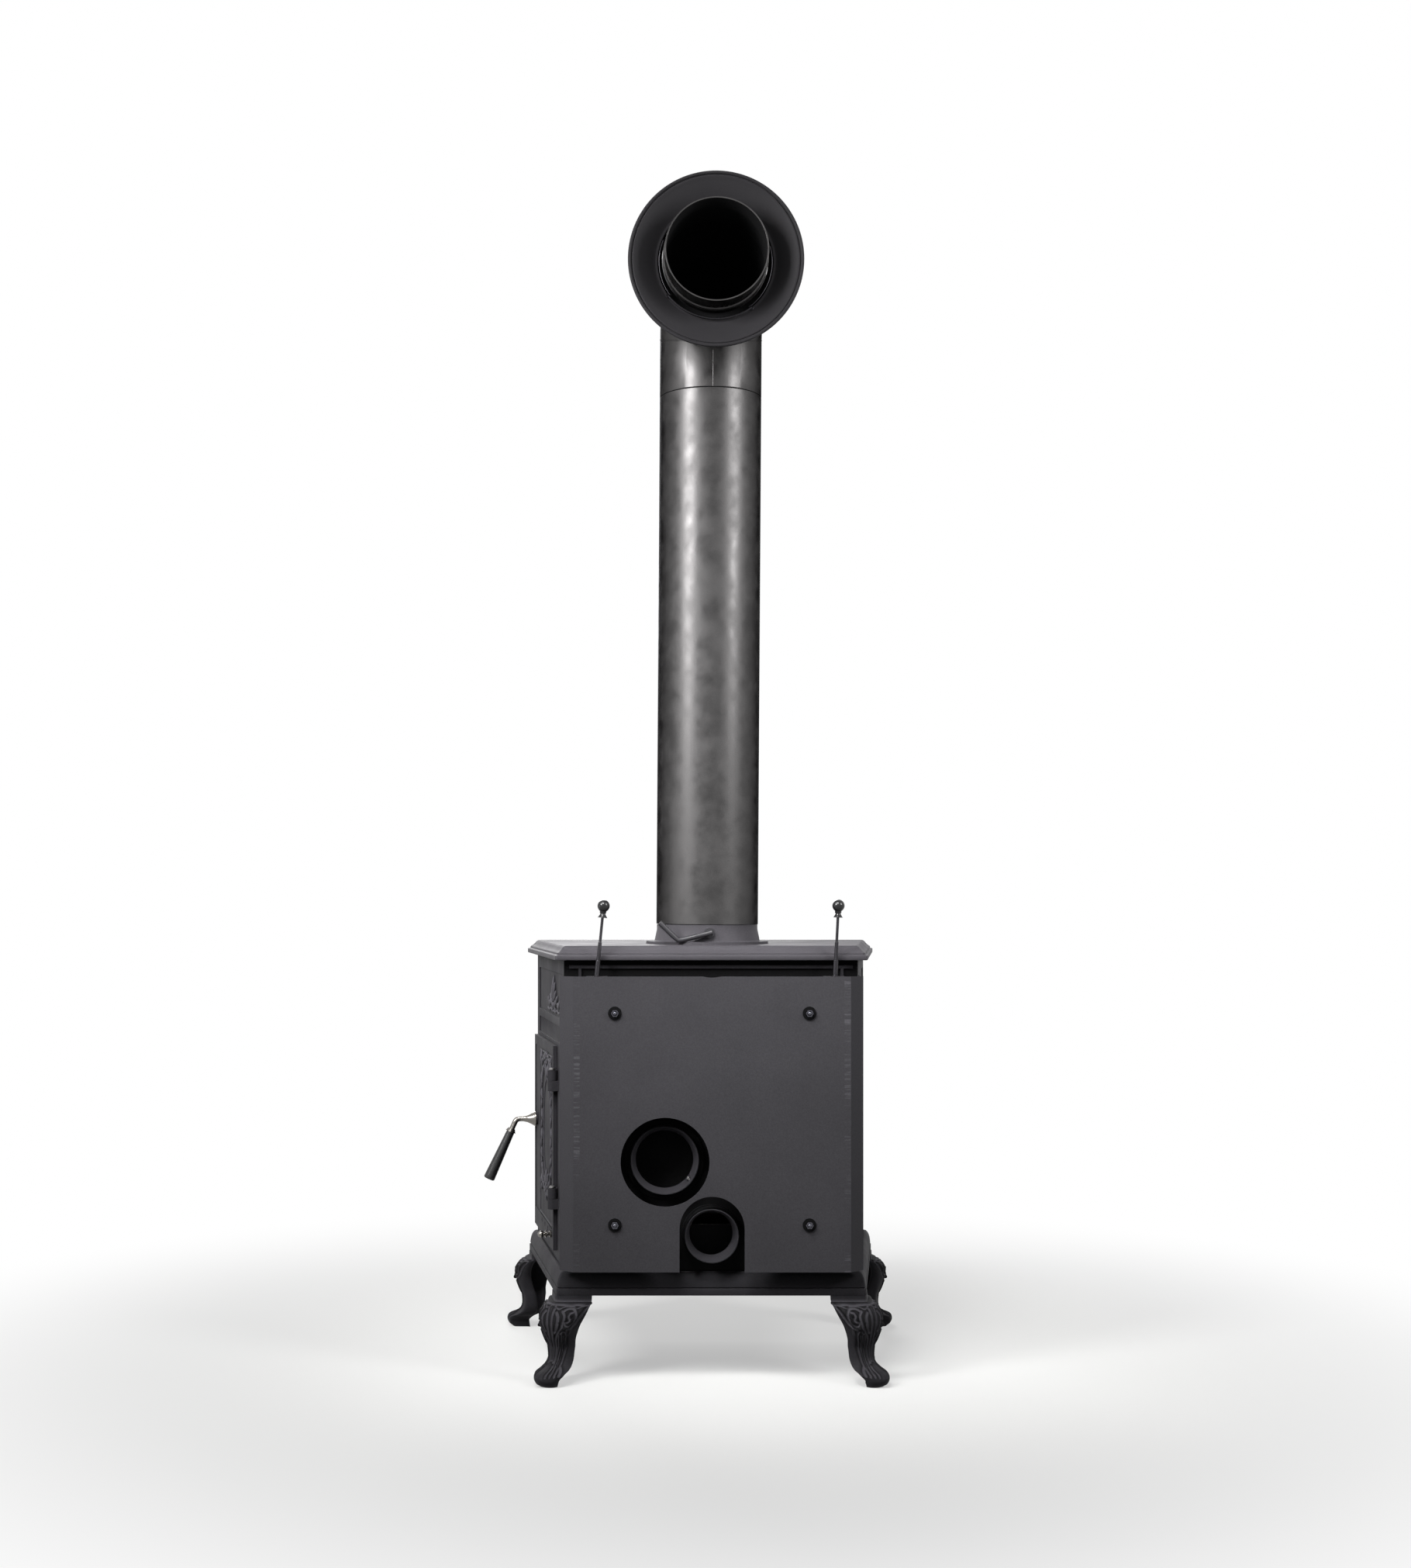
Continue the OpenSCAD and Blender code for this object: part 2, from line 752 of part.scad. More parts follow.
// Flue collar: a flange, a tapered cast ring and a spigot that the pipe slips over
module each_collar_bolt() {
    for (a = [30, 150, 270])
        translate([collar_bolt_pcd_r * cos(a), flue_y + collar_bolt_pcd_r * sin(a), 0]) children();
}
module flue_collar() {
    ring = [
        [flue_hole_r, 0], [collar_flange_r, 0], [collar_flange_r, collar_flange_t],
        [collar_foot_r + over, collar_flange_t], [collar_foot_r, collar_flange_t + over],
        [collar_top_r, mix(collar_flange_t, collar_h, 0.7)], [collar_top_r, collar_h],
        [pipe_r - pipe_wall - collar_spigot_gap, collar_h],
        [pipe_r - pipe_wall - collar_spigot_gap, collar_h + collar_spigot_h],
        [collar_top_r - collar_wall, collar_h + collar_spigot_h],
        [collar_top_r - collar_wall, collar_flange_t], [flue_hole_r, collar_flange_t]
    ];
    color("#434346") difference() {
        union() {
            translate([0, flue_y, z_top]) rotate_extrude() polygon(ring);
            translate([0, flue_y + collar_top_r + damper_boss_len, damper_z]) rotate([90, 0, 0])
                cylinder(h = damper_boss_len + collar_wall / 2, r = damper_boss_r);
        }
        translate([0, flue_y + collar_flange_r, damper_z]) rotate([90, 0, 0])
            cylinder(h = 2 * collar_flange_r, r = damper_spindle_r + run_gap);
        each_collar_bolt() translate([0, 0, z_top - over])
            cylinder(h = collar_flange_t * 0.75 + over, r = collar_bolt_r + run_gap);
    }
}
module collar_bolts() {
    color("#6d6d70") each_collar_bolt() {
        translate([0, 0, z_plate]) cylinder(h = plate_t + collar_flange_t * 0.7, r = collar_bolt_r);
        translate([0, 0, z_plate - collar_bolt_head_h])
            cylinder(h = collar_bolt_head_h, r = collar_bolt_head_r, $fn = 6);
    }
}

// Rear heat shield: a sheet with folded flanges, held off the panel by spacers
module each_shield_bolt() {
    for (x = [-shield_bolt_x, shield_bolt_x]) for (z = shield_bolt_zs)
        translate([x, 0, z]) children();
}
module rear_bar(y0, y1, r, sides = $fn) {
    translate([0, y1, 0]) rotate([90, 0, 0]) cylinder(h = y1 - y0, r = r, $fn = sides);
}
module rear_heat_shield() {
    fold = shield_flange;
    half = shield_w / 2;
    inside = shield_t * tan(22.5);
    outline = [
        [half, shield_y + shield_t], [-half, shield_y + shield_t],
        [-half - fold, shield_y + shield_t - fold],
        [-half - fold + shield_t * sin(45), shield_y + shield_t - fold - shield_t * sin(45)],
        [-half + inside, shield_y], [half - inside, shield_y],
        [half + fold - shield_t * sin(45), shield_y + shield_t - fold - shield_t * sin(45)],
        [half + fold, shield_y + shield_t - fold]
    ];
    color("#3f3e40") difference() {
        translate([0, 0, shield_z]) linear_extrude(height = shield_h) polygon(outline);
        translate([large_inlet_x, 0, large_inlet_z]) rear_bar(shield_y - over, shield_y + shield_t + over,
            inlet_window_r);
        translate([0, 0, small_inlet_z + notch_rise]) rear_bar(shield_y - over, shield_y + shield_t + over,
            inlet_notch_r);
        block(-inlet_notch_r, inlet_notch_r, shield_y - over, shield_y + shield_t + over,
            shield_z - over, small_inlet_z + notch_rise);
        translate([0, 0, shield_z + shield_h + top_nick_r - top_nick])
            rear_bar(shield_y - over, shield_y + shield_t + over, top_nick_r);
        each_shield_bolt() rear_bar(shield_y - over, shield_y + shield_t + over, shield_bolt_r + run_gap);
    }
}
module shield_spacers() {
    color("#5a5a5c") each_shield_bolt() difference() {
        rear_bar(rear_y, shield_y, spacer_r);
        rear_bar(rear_y - over, shield_y + over, shield_bolt_r + run_gap);
    }
}
module shield_bolts() {
    face = shield_y + shield_t;
    color("#232325") each_shield_bolt() {
        rear_bar(rear_y, face + shield_washer_t, shield_bolt_r);
        rear_bar(face, face + shield_washer_t, shield_washer_r);
        rear_bar(face + shield_washer_t, face + shield_washer_t + shield_nut_h, shield_nut_r, 6);
        translate([0, face + shield_washer_t + shield_nut_h, 0]) sphere(r = shield_dome_r);
    }
}

// Air inlets: short cast sleeves on the rear panel
module inlet(r, length, flange) {
    difference() {
        union() {
            rear_bar(rear_y, rear_y + length, r);
            rear_bar(rear_y, rear_y + inlet_flange_t, r + flange);
        }
        rear_bar(rear_y - over, rear_y + length + over, r - inlet_wall);
    }
}
module large_air_inlet() {
    color("#3a3a3c") difference() {
        translate([large_inlet_x, 0, large_inlet_z]) inlet(large_inlet_r, large_inlet_len, inlet_flange_w);
        at_inlet_screw() outward() cylinder(h = inlet_screw_len + over, r = inlet_screw_r + run_gap);
    }
}
module at_inlet_screw() {
    translate([large_inlet_x, rear_y + large_inlet_len - 2 * inlet_wall, large_inlet_z])
        rotate([0, -inlet_screw_a, 0]) translate([large_inlet_r - inlet_wall - inlet_screw_stand, 0, 0])
            children();
}
module inlet_screw() {
    color("#b9b9ba") at_inlet_screw() outward() {
        cylinder(h = inlet_screw_len, r = inlet_screw_r);
        translate([0, 0, -inlet_screw_r]) cylinder(h = inlet_screw_r, r = 1.6 * inlet_screw_r);
    }
}
module small_air_inlet() {
    color("#3a3a3c") translate([0, 0, small_inlet_z]) inlet(small_inlet_r, small_inlet_len, small_flange_w);
}

// Shutters behind the shield, their guides, and the rods that lift them
module shutter_guides() {
    half = shutter_w / 2;
    low = z_plate - guide_drop;
    color("#4d4d50") for (x = [right_rod_x, -left_rod_x]) for (s = [-1, 1]) translate([x, 0, 0]) {
        x0 = half + part_gap;
        block(s > 0 ? x0 : -x0 - guide_w, s > 0 ? x0 + guide_w : -x0, rear_y,
            shutter_y + shutter_t + part_gap, low, low + guide_h);
        block(s > 0 ? x0 - guide_lip : -x0 - guide_w, s > 0 ? x0 + guide_w : guide_lip - x0,
            shutter_y + shutter_t + part_gap, shutter_y + shutter_t + part_gap + guide_t, low, low + guide_h);
    }
}
module air_shutter(x) {
    top = shutter_z + shutter_h;
    translate([x, 0, 0]) difference() {
        union() {
            block(-shutter_w / 2, shutter_w / 2, shutter_y, shutter_y + shutter_t, shutter_z, top);
            block(-tab_w / 2, tab_w / 2, shutter_y, rod_y + rod_sleeve_r, top - tab_t, top);
        }
        translate([0, rod_y, top - tab_t - over]) cylinder(h = tab_t + 2 * over, r = rod_r + run_gap);
    }
}
module air_rod(x, lean) {
    top = shutter_z + shutter_h;
    reach = z_top + rod_rise - top - knob_r - knob_skirt_h - rod_seat;
    translate([x, rod_y, top]) {
        translate([0, 0, -tab_t]) cylinder(h = tab_t, r = rod_r);
        cylinder(h = rod_foot_h, r = rod_foot_r);
        translate([0, 0, rod_seat]) rotate([0, lean, 0]) {
            cylinder(h = rod_sleeve_h, r = rod_sleeve_r);
            cylinder(h = rod_sleeve_h + rod_mid_h, r = rod_mid_r);
            cylinder(h = reach, r = rod_r);
        }
    }
}
module rod_knob(x, lean) {
    top = shutter_z + shutter_h;
    reach = z_top + rod_rise - top - knob_r - knob_skirt_h - rod_seat;
    translate([x, rod_y, top + rod_seat]) rotate([0, lean, 0]) translate([0, 0, reach]) rotate_extrude()
        difference() {
            union() {
                polygon([
                    [0, 0], [knob_skirt_r, 0], [knob_neck_r + over, 0.45 * knob_skirt_h],
                    [knob_neck_r, 0.7 * knob_skirt_h], [knob_neck_r + over, 0.85 * knob_skirt_h],
                    [knob_neck_r + over, knob_skirt_h + knob_r / 2], [0, knob_skirt_h + knob_r / 2]
                ]);
                translate([0, knob_skirt_h + knob_r]) circle(r = knob_r);
            }
            translate([-2 * knob_r, -over]) square([2 * knob_r, 4 * knob_r + knob_skirt_h]);
        }
}
module right_air_shutter() color("#4a4a4c") air_shutter(right_rod_x);
module right_air_rod() color("#5c5c5f") air_rod(right_rod_x, right_rod_lean);
module right_rod_knob() color("#1c1c1c") rod_knob(right_rod_x, right_rod_lean);
module left_air_shutter() color("#4a4a4c") air_shutter(-left_rod_x);
module left_air_rod() color("#5c5c5f") air_rod(-left_rod_x, -left_rod_lean);
module left_rod_knob() color("#1c1c1c") rod_knob(-left_rod_x, -left_rod_lean);

// Inside of the firebox
module rear_air_box() {
    y1 = rear_y - wall_t;
    z0 = z_carrier + carrier_t + part_gap;
    color("#4c4c4e") difference() {
        block(-air_box_w / 2, air_box_w / 2, y1 - air_box_depth, y1, z0, z0 + air_box_h);
        block(-air_box_w / 2 + air_box_t, air_box_w / 2 - air_box_t,
            y1 - air_box_depth + air_box_t, y1 + over, z0 + air_box_t, z0 + air_box_h - air_box_t);
    }
}
brick_z = z_carrier + carrier_t;
brick_top = brick_z + brick_h;
rear_brick_y = rear_y - wall_t - air_box_depth;
module firebricks_left() {
    mid = (left_brick_span[0] + left_brick_span[1]) / 2;
    x1 = -wall_t - part_gap;
    color("#c9b88e") on_left() {
        block(x1 - brick_t, x1, left_brick_span[0], mid - brick_gap / 2, brick_z, brick_top);
        block(x1 - brick_t, x1, mid + brick_gap / 2, left_brick_span[1], brick_z, brick_top);
    }
}
module firebricks_rear() {
    color("#c9b88e") for (x = [-rear_brick_w / 2, brick_gap / 2])
        block(x, x + (rear_brick_w - brick_gap) / 2, rear_brick_y - brick_t, rear_brick_y,
            brick_z, brick_top);
}
module baffle_plate() {
    color("#454547") plan_slab(brick_top, brick_top + baffle_t, inner_o - baffle_gap, baffle_fore_y,
        rear_brick_y - part_gap);
}
module grate_carrier() {
    color("#3d3d3f") difference() {
        plan_slab(z_carrier, z_carrier + carrier_t, inner_o - carrier_gap, front_y + wall_t + part_gap,
            rear_y - wall_t - part_gap);
        block(-grate_w / 2 + grate_lip, grate_w / 2 - grate_lip, grate_y - grate_d / 2 + grate_lip,
            grate_y + grate_d / 2 - grate_lip, z_carrier - over, z_carrier + carrier_t + over);
        block(-grate_w / 2 - brick_gap, grate_w / 2 + brick_gap, grate_y - grate_d / 2 - brick_gap,
            grate_y + grate_d / 2 + brick_gap, z_carrier + carrier_rebate, z_carrier + carrier_t + over);
        for (p = plan(-leg_tie_inset))
            translate([p[0], p[1], z_carrier - over])
                cylinder(h = carrier_t + 2 * over, r = tie_r + brick_gap);
    }
}
module grate() {
    pitch = (grate_w - 2 * grate_rim) / grate_slots;
    slot = pitch * (1 - grate_bar_share);
    color("#353537") difference() {
        block(-grate_w / 2, grate_w / 2, grate_y - grate_d / 2, grate_y + grate_d / 2,
            z_carrier + carrier_rebate, z_carrier + carrier_rebate + grate_t);
        for (i = [0:grate_slots - 1]) {
            x = -grate_w / 2 + grate_rim + (i + 0.5) * pitch;
            reach = grate_d / 2 - grate_rim;
            block(x - slot / 2, x + slot / 2, grate_y - reach, grate_y + reach, z_carrier,
                z_carrier + carrier_rebate + grate_t + over);
        }
    }
}
module log_retainer() {
    color("#39393b") {
        block(-retainer_w / 2, retainer_w / 2, retainer_y - retainer_t, retainer_y, brick_z,
            brick_z + retainer_h);
        for (s = [-1, 1])
            block(s * retainer_w / 3 - retainer_t / 2, s * retainer_w / 3 + retainer_t / 2, retainer_y,
                retainer_y + retainer_foot, brick_z, brick_z + retainer_t);
    }
}

module side_hinge_pins() color("#8b8b8d") on_right() hinge_pins(side_hinge_y, side_hinge_zs);
module front_hinge_pins() color("#8b8b8d") on_front() hinge_pins(front_hinge_y, front_hinge_zs);

// The pipe leans a little on the collar's left edge, and the elbow with it
module lean_flue() {
    translate([-pipe_r, 0, z_pipe]) rotate([0, -flue_lean, 0]) translate([pipe_r, 0, -z_pipe]) children();
}
module flue_pipe() {
    color("#504f52") lean_flue() translate([0, flue_y, z_pipe]) difference() {
        cylinder(h = pipe_len, r = pipe_r);
        translate([0, 0, -over]) cylinder(h = pipe_len + 2 * over, r = pipe_r - pipe_wall);
    }
}

// Groove and rope of a door's seal, in the middle of the lap
module seal_ring(x0, x1, y0, y1, z0, z1, lap, w) {
    d = (lap - w) / 2;
    frame_ring(x0, x1, y0 + d, y1 - d, z0 + d, z1 - d, w);
}

// Side door with slots for its air slide
module side_door() {
    face = door_gap + side_door_t;
    color("#3b3b3e") on_right() difference() {
        union() {
            difference() {
                block(door_gap, face, side_fore_y, side_rear_y, side_door_z, side_top_z);
                block(face - relief_depth, face + over, side_fore_y + relief_margin,
                    side_rear_y - relief_margin, side_door_z + 2 * relief_margin, side_top_z - relief_margin);
            }
            translate([face - relief_depth, side_latch_y, side_latch_z]) outward()
                cylinder(h = relief_depth + boss_t, r = boss_r);
            door_knuckles(side_hinge_y, side_hinge_zs, door_gap, face + relief_depth);
            for (s = [-1, 1]) {
                edge = slide_z + s * (slide_plate_h / 2 + part_gap);
                far = edge + s * rail_w;
                lip = edge - s * (rail_lip + part_gap);
                y0 = slide_knob_y - slide_plate_w;
                y1 = slide_knob_y + slide_plate_h;
                back = -slide_plate_t;
                block(back - rail_lip_t, door_gap, y0, y1, min(edge, far), max(edge, far));
                block(back - rail_lip_t, back, y0, y1, min(lip, far), max(lip, far));
            }
        }
        seal_ring(door_gap - over, door_gap + groove_depth, side_fore_y, side_rear_y, side_door_z, side_top_z,
            side_door_lap, groove_w);
        translate([-over, side_latch_y, side_latch_z]) outward()
            cylinder(h = face + boss_t + 2 * over, r = spindle_r + run_gap);
        block(-over, face + over, slide_knob_y - slide_travel - slide_stud_r - part_gap,
            slide_knob_y + slide_stud_r + part_gap, slide_z - slide_stud_r - part_gap,
            slide_z + slide_stud_r + part_gap);
        for (i = [1:3]) translate([-over, slide_knob_y - slide_travel / 2 - i * slide_hole_step, slide_z])
            outward() cylinder(h = face + 2 * over, r = slide_hole_r);
    }
}
module side_door_gasket() {
    color("#8d8a84") on_right() seal_ring(part_gap, door_gap + groove_depth, side_fore_y, side_rear_y,
        side_door_z, side_top_z, side_door_lap, gasket_w);
}

// Latch spindle with its cam, shown released: the cam points up
module latch(y, z, face) {
    back = -wall_t - latch_set - latch_t;
    translate([0, y, z]) {
        translate([back, 0, 0]) outward() cylinder(h = face + rose_len / 2 - back, r = spindle_r);
        block(back, back + latch_t, -latch_w / 2, latch_w / 2, 0, latch_len);
    }
}
// Nickelled stem: a rose on the door, a bent neck and a ferrule
module handle_stem(y, z, face) {
    start = face + part_gap;
    turn = 90 - grip_lean;
    grip_way = bar_way(turn);
    bend_end = stem_bend(turn);
    rose_shares = [[0, 1], [0.1, 1], [0.38, 0.72], [0.65, 0.5]];
    rings = concat(
        [for (q = rose_shares) bar_ring([start + q[0] * rose_len, 0, 0], 0, q[1] * rose_r)],
        [bar_ring([start + rose_len, 0, 0], 0, stem_r)],
        [for (k = [0:bend_steps]) bar_ring(stem_bend(turn * k / bend_steps), turn * k / bend_steps, stem_r)],
        [
            bar_ring(bend_end + neck_len * grip_way, turn, stem_r),
            bar_ring(bend_end + neck_len * grip_way, turn, ferrule_top_r),
            bar_ring(bend_end + (neck_len + ferrule_len) * grip_way, turn, ferrule_r)
        ]
    );
    translate([0, y, z]) difference() {
        skin(rings);
        translate([-over, 0, 0]) outward()
            cylinder(h = face + rose_len / 2 + over + part_gap, r = spindle_r + run_gap);
    }
}
function stem_bend(a) = [stem_reach + stem_bend_r * sin(a), 0, -stem_bend_r * (1 - cos(a))];
// Places children at the end of the stem's bend, z running down the grip
module on_grip() {
    turn = 90 - grip_lean;
    translate([stem_reach + stem_bend_r * sin(turn), 0, -stem_bend_r * (1 - cos(turn))])
        rotate([0, 90 + turn, 0]) children();
}
module handle_grip(y, z) {
    translate([0, y, z]) on_grip() translate([0, 0, neck_len + ferrule_len]) rotate_extrude() polygon([
        [0, 0], [grip_top_r, 0], [grip_end_r, grip_len - grip_round],
        [grip_end_r - 0.3 * grip_round, grip_len - 0.3 * grip_round], [grip_end_r - grip_round, grip_len],
        [0, grip_len]
    ]);
}
side_boss_face = door_gap + side_door_t + boss_t;
front_boss_face = door_gap + front_door_t + boss_t;
module side_latch_spindle() {
    color("#77777a") on_right() latch(side_latch_y, side_latch_z, side_boss_face);
}
module side_handle_stem() {
    color("#c3c0bb") on_right() handle_stem(side_latch_y, side_latch_z, side_boss_face);
}
module side_handle_grip() {
    color("#141414") on_right() handle_grip(side_latch_y, side_latch_z);
}

// Air slide behind the side door and the knob that moves it
module side_air_slide() {
    y1 = slide_knob_y + slide_plate_h / 2;
    color("#6a6a6c") on_right() difference() {
        union() {
            block(part_gap - slide_plate_t, part_gap, y1 - slide_plate_w + slide_travel, y1,
                slide_z - slide_plate_h / 2, slide_z + slide_plate_h / 2);
            translate([0, slide_knob_y, slide_z]) outward()
                cylinder(h = door_gap + side_door_t + part_gap, r = slide_stud_r);
        }
        for (i = [1:3]) translate([-slide_plate_t, slide_knob_y - slide_travel / 2 - i * slide_hole_step
                + slide_travel, slide_z]) outward()
            cylinder(h = 2 * slide_plate_t, r = slide_hole_r);
    }
}
module small_knob(r, length) {
    rotate_extrude() difference() {
        union() {
            polygon([
                [0, 0], [r, 0], [r, 0.12 * length], [0.55 * r, 0.22 * length], [0.55 * r, 0.3 * length],
                [1.05 * r, 0.36 * length], [1.05 * r, 0.44 * length], [0.5 * r, 0.52 * length],
                [0.45 * r, 0.72 * length], [0, 0.72 * length]
            ]);
            translate([0, length - r]) circle(r = r);
        }
        translate([-2 * r, -over]) square([2 * r, 2 * length]);
    }
}
module side_air_knob() {
    color("#b5b2ac") on_right() translate([door_gap + side_door_t + part_gap, slide_knob_y, slide_z])
        outward() small_knob(small_knob_r, small_knob_len - side_door_t);
}

// Front door with its window
module front_door() {
    face = door_gap + front_door_t;
    half = front_door_w / 2;
    win = half - front_door_border;
    glass_x = face - glass_t - glass_rebate;
    color("#3b3b3e") on_front() difference() {
        union() {
            block(door_gap, face, -half, half, front_door_z, front_top_z);
            translate([face, front_latch_y, front_latch_z]) outward() cylinder(h = boss_t, r = boss_r);
            door_knuckles(front_hinge_y, front_hinge_zs, door_gap, face);
        }
        block(-over, face + over, -win, win,
            front_door_z + front_door_border, front_top_z - front_door_border);
        block(-over, glass_x + glass_t, -win - glass_rebate, win + glass_rebate,
            front_door_z + front_door_border - glass_rebate, front_top_z - front_door_border + glass_rebate);
        for (s = [-1, 1]) for (z = clip_zs) block(-over, glass_x, s * (win - clip_w) - clip_w / 2,
            s * (win - clip_w) + clip_w / 2, z - clip_h, z + clip_h);
        seal_ring(door_gap - over, door_gap + groove_depth, -half, half, front_door_z, front_top_z,
            front_door_lap, groove_w);
        translate([-over, front_latch_y, front_latch_z]) outward()
            cylinder(h = face + boss_t + 2 * over, r = spindle_r + run_gap);
    }
}
clip_zs = [
    front_door_z + front_door_border - glass_rebate, front_top_z - front_door_border + glass_rebate
];
module front_door_glass() {
    win = front_door_w / 2 - front_door_border + glass_rebate - part_gap;
    x = door_gap + front_door_t - glass_t - glass_rebate;
    color([0.75, 0.85, 0.85, 0.35]) on_front() block(x, x + glass_t, -win, win,
        front_door_z + front_door_border - glass_rebate + part_gap,
        front_top_z - front_door_border + glass_rebate - part_gap);
}
module glass_clips() {
    win = front_door_w / 2 - front_door_border;
    x = door_gap + front_door_t - glass_t - glass_rebate;
    color("#6d6d70") on_front() for (s = [-1, 1]) for (z = clip_zs)
        block(x - glass_t / 2, x, s * (win - clip_w) - clip_w / 2 + part_gap,
            s * (win - clip_w) + clip_w / 2 - part_gap, z - clip_h + part_gap, z + clip_h - part_gap);
}
module front_door_gasket() {
    color("#8d8a84") on_front() seal_ring(part_gap, door_gap + groove_depth, -front_door_w / 2,
        front_door_w / 2, front_door_z, front_top_z, front_door_lap, gasket_w);
}
module front_latch_spindle() {
    color("#77777a") on_front() latch(front_latch_y, front_latch_z, front_boss_face);
}
module front_handle_stem() {
    color("#c3c0bb") on_front() handle_stem(front_latch_y, front_latch_z, front_boss_face);
}
module front_handle_grip() {
    color("#141414") on_front() handle_grip(front_latch_y, front_latch_z);
}

// Ash drawer: a sheet box behind a cast front
module ash_drawer() {
    z0 = z_casing + drawer_lift;
    y0 = front_y - drawer_front_gap;
    color("#6f6f71") difference() {
        block(-drawer_w / 2, drawer_w / 2, y0, y0 + drawer_len, z0, z0 + drawer_h);
        block(-drawer_w / 2 + drawer_sheet, drawer_w / 2 - drawer_sheet, y0 + drawer_sheet,
            y0 + drawer_len - drawer_sheet, z0 + drawer_sheet, z0 + drawer_h + over);
    }
}
module ash_drawer_front() {
    z0 = z_casing + drawer_hole_h / 2 - drawer_front_h / 2 + base_groove;
    color("#3b3b3e") on_front() block(drawer_front_gap, drawer_front_gap + drawer_front_t,
        -drawer_front_w / 2, drawer_front_w / 2, z0, z0 + drawer_front_h + base_groove);
}
module ash_drawer_knob() {
    color("#b5b2ac") on_front() translate([drawer_front_gap + drawer_front_t, 0, drawer_knob_z])
        outward() small_knob(small_knob_r, small_knob_len);
}

// Damper: a disc on a spindle across the collar, turned by a bent rod
module damper_disc() {
    color("#3d3d3f") difference() {
        union() {
            translate([0, flue_y, damper_z - damper_t / 2]) cylinder(h = damper_t, r = damper_r);
            translate([0, 0, damper_z]) rear_bar(flue_y - damper_rib_len / 2, flue_y + damper_rib_len / 2,
                damper_spindle_r + damper_rib_t);
        }
        translate([0, flue_y + 2 * damper_r, damper_z]) rotate([90, 0, 0])
            cylinder(h = 4 * damper_r, r = damper_spindle_r);
    }
}
module damper_spindle() {
    y0 = flue_y - collar_top_r - damper_boss_len;
    y1 = flue_y + collar_top_r + damper_boss_len + part_gap;
    y2 = y1 + damper_washer_t + damper_seat_share * damper_rod_r;
    hub = [0, y2, damper_z];
    bend = hub + [damper_bend[0], 0, damper_bend[1]];
    end = hub + [damper_end[0], 0, damper_end[1]];
    a2 = -atan2(end[2] - bend[2], end[0] - bend[0]);
    down = -atan2(damper_bend[1], damper_bend[0]);
    color("#5a5a5d") {
        translate([0, 0, damper_z]) {
            rear_bar(y0, y2 + damper_rod_r / 2, damper_spindle_r);
            rear_bar(y1, y1 + damper_washer_t, damper_washer_r);
        }
        skin([
            bar_ring(hub - damper_rod_r * bar_way(down), down, damper_rod_r),
            bar_ring(bend - 2 * damper_rod_r * bar_way(down), down, damper_rod_r),
            bar_ring(bend + [0, 0, damper_rod_r / 4], (down + a2) / 2, damper_rod_r),
            bar_ring(bend + 2 * damper_rod_r * bar_way(a2), a2, damper_rod_r),
            bar_ring(end, a2, damper_rod_r)
        ]);
    }
}

// Elbow: straight pieces mitred on a common centre, a male foot and a male outlet
mitre_a = 90 / (elbow_pieces - 1) / 2;
function bend_in(r, t) = elbow_r - r * sin(t);
function elbow_turns() = [for (i = [0:elbow_sides - 1]) 360 * i / elbow_sides];
function foot_ring(r, z) = [for (t = elbow_turns()) [r * cos(t), bend_y - bend_in(r, t), z]];
function mitre_ring(r, k) = let (a = (2 * k - 1) * mitre_a) [
    for (t = elbow_turns()) let (d = bend_in(r, t) / cos(mitre_a))
        [r * cos(t), bend_y - d * cos(a), bend_z + d * sin(a)]
];
function outlet_ring(r, y) = [for (t = elbow_turns()) [r * cos(t), y, bend_z + bend_in(r, t)]];
module flue_elbow() {
    inner = pipe_r - 2 * pipe_wall;
    male = pipe_r - pipe_wall - spigot_gap;
    seat = z_joint + joint_gap;
    outer_rings = concat(
        [foot_ring(male, z_joint - elbow_male_len), foot_ring(male, seat), foot_ring(pipe_r, seat)],
        [for (k = [1:elbow_pieces - 1]) mitre_ring(pipe_r, k)],
        [outlet_ring(pipe_r, outlet_band_y)]
    );
    inner_rings = concat(
        [foot_ring(inner, z_joint - elbow_male_len - over)],
        [for (k = [1:elbow_pieces - 1]) mitre_ring(inner, k)],
        [outlet_ring(inner, outlet_band_y + over)]
    );
    color("#504f52") lean_flue() difference() {
        skin(outer_rings);
        skin(inner_rings);
    }
}

// Swaged ring at the end of the elbow: a band, then the male outlet that flue parts slip over
module elbow_outlet() {
    inner = pipe_r - 2 * pipe_wall;
    wall = [
        [inner, 0], [pipe_r, 0], [pipe_r, outlet_band], [outlet_r, outlet_band],
        [outlet_r, outlet_band + outlet_male_len], [inner, outlet_band + outlet_male_len]
    ];
    color("#504f52") lean_flue() translate([0, outlet_band_y, outlet_z]) rotate([-90, 0, 0])
        rotate_extrude() polygon(wall);
}

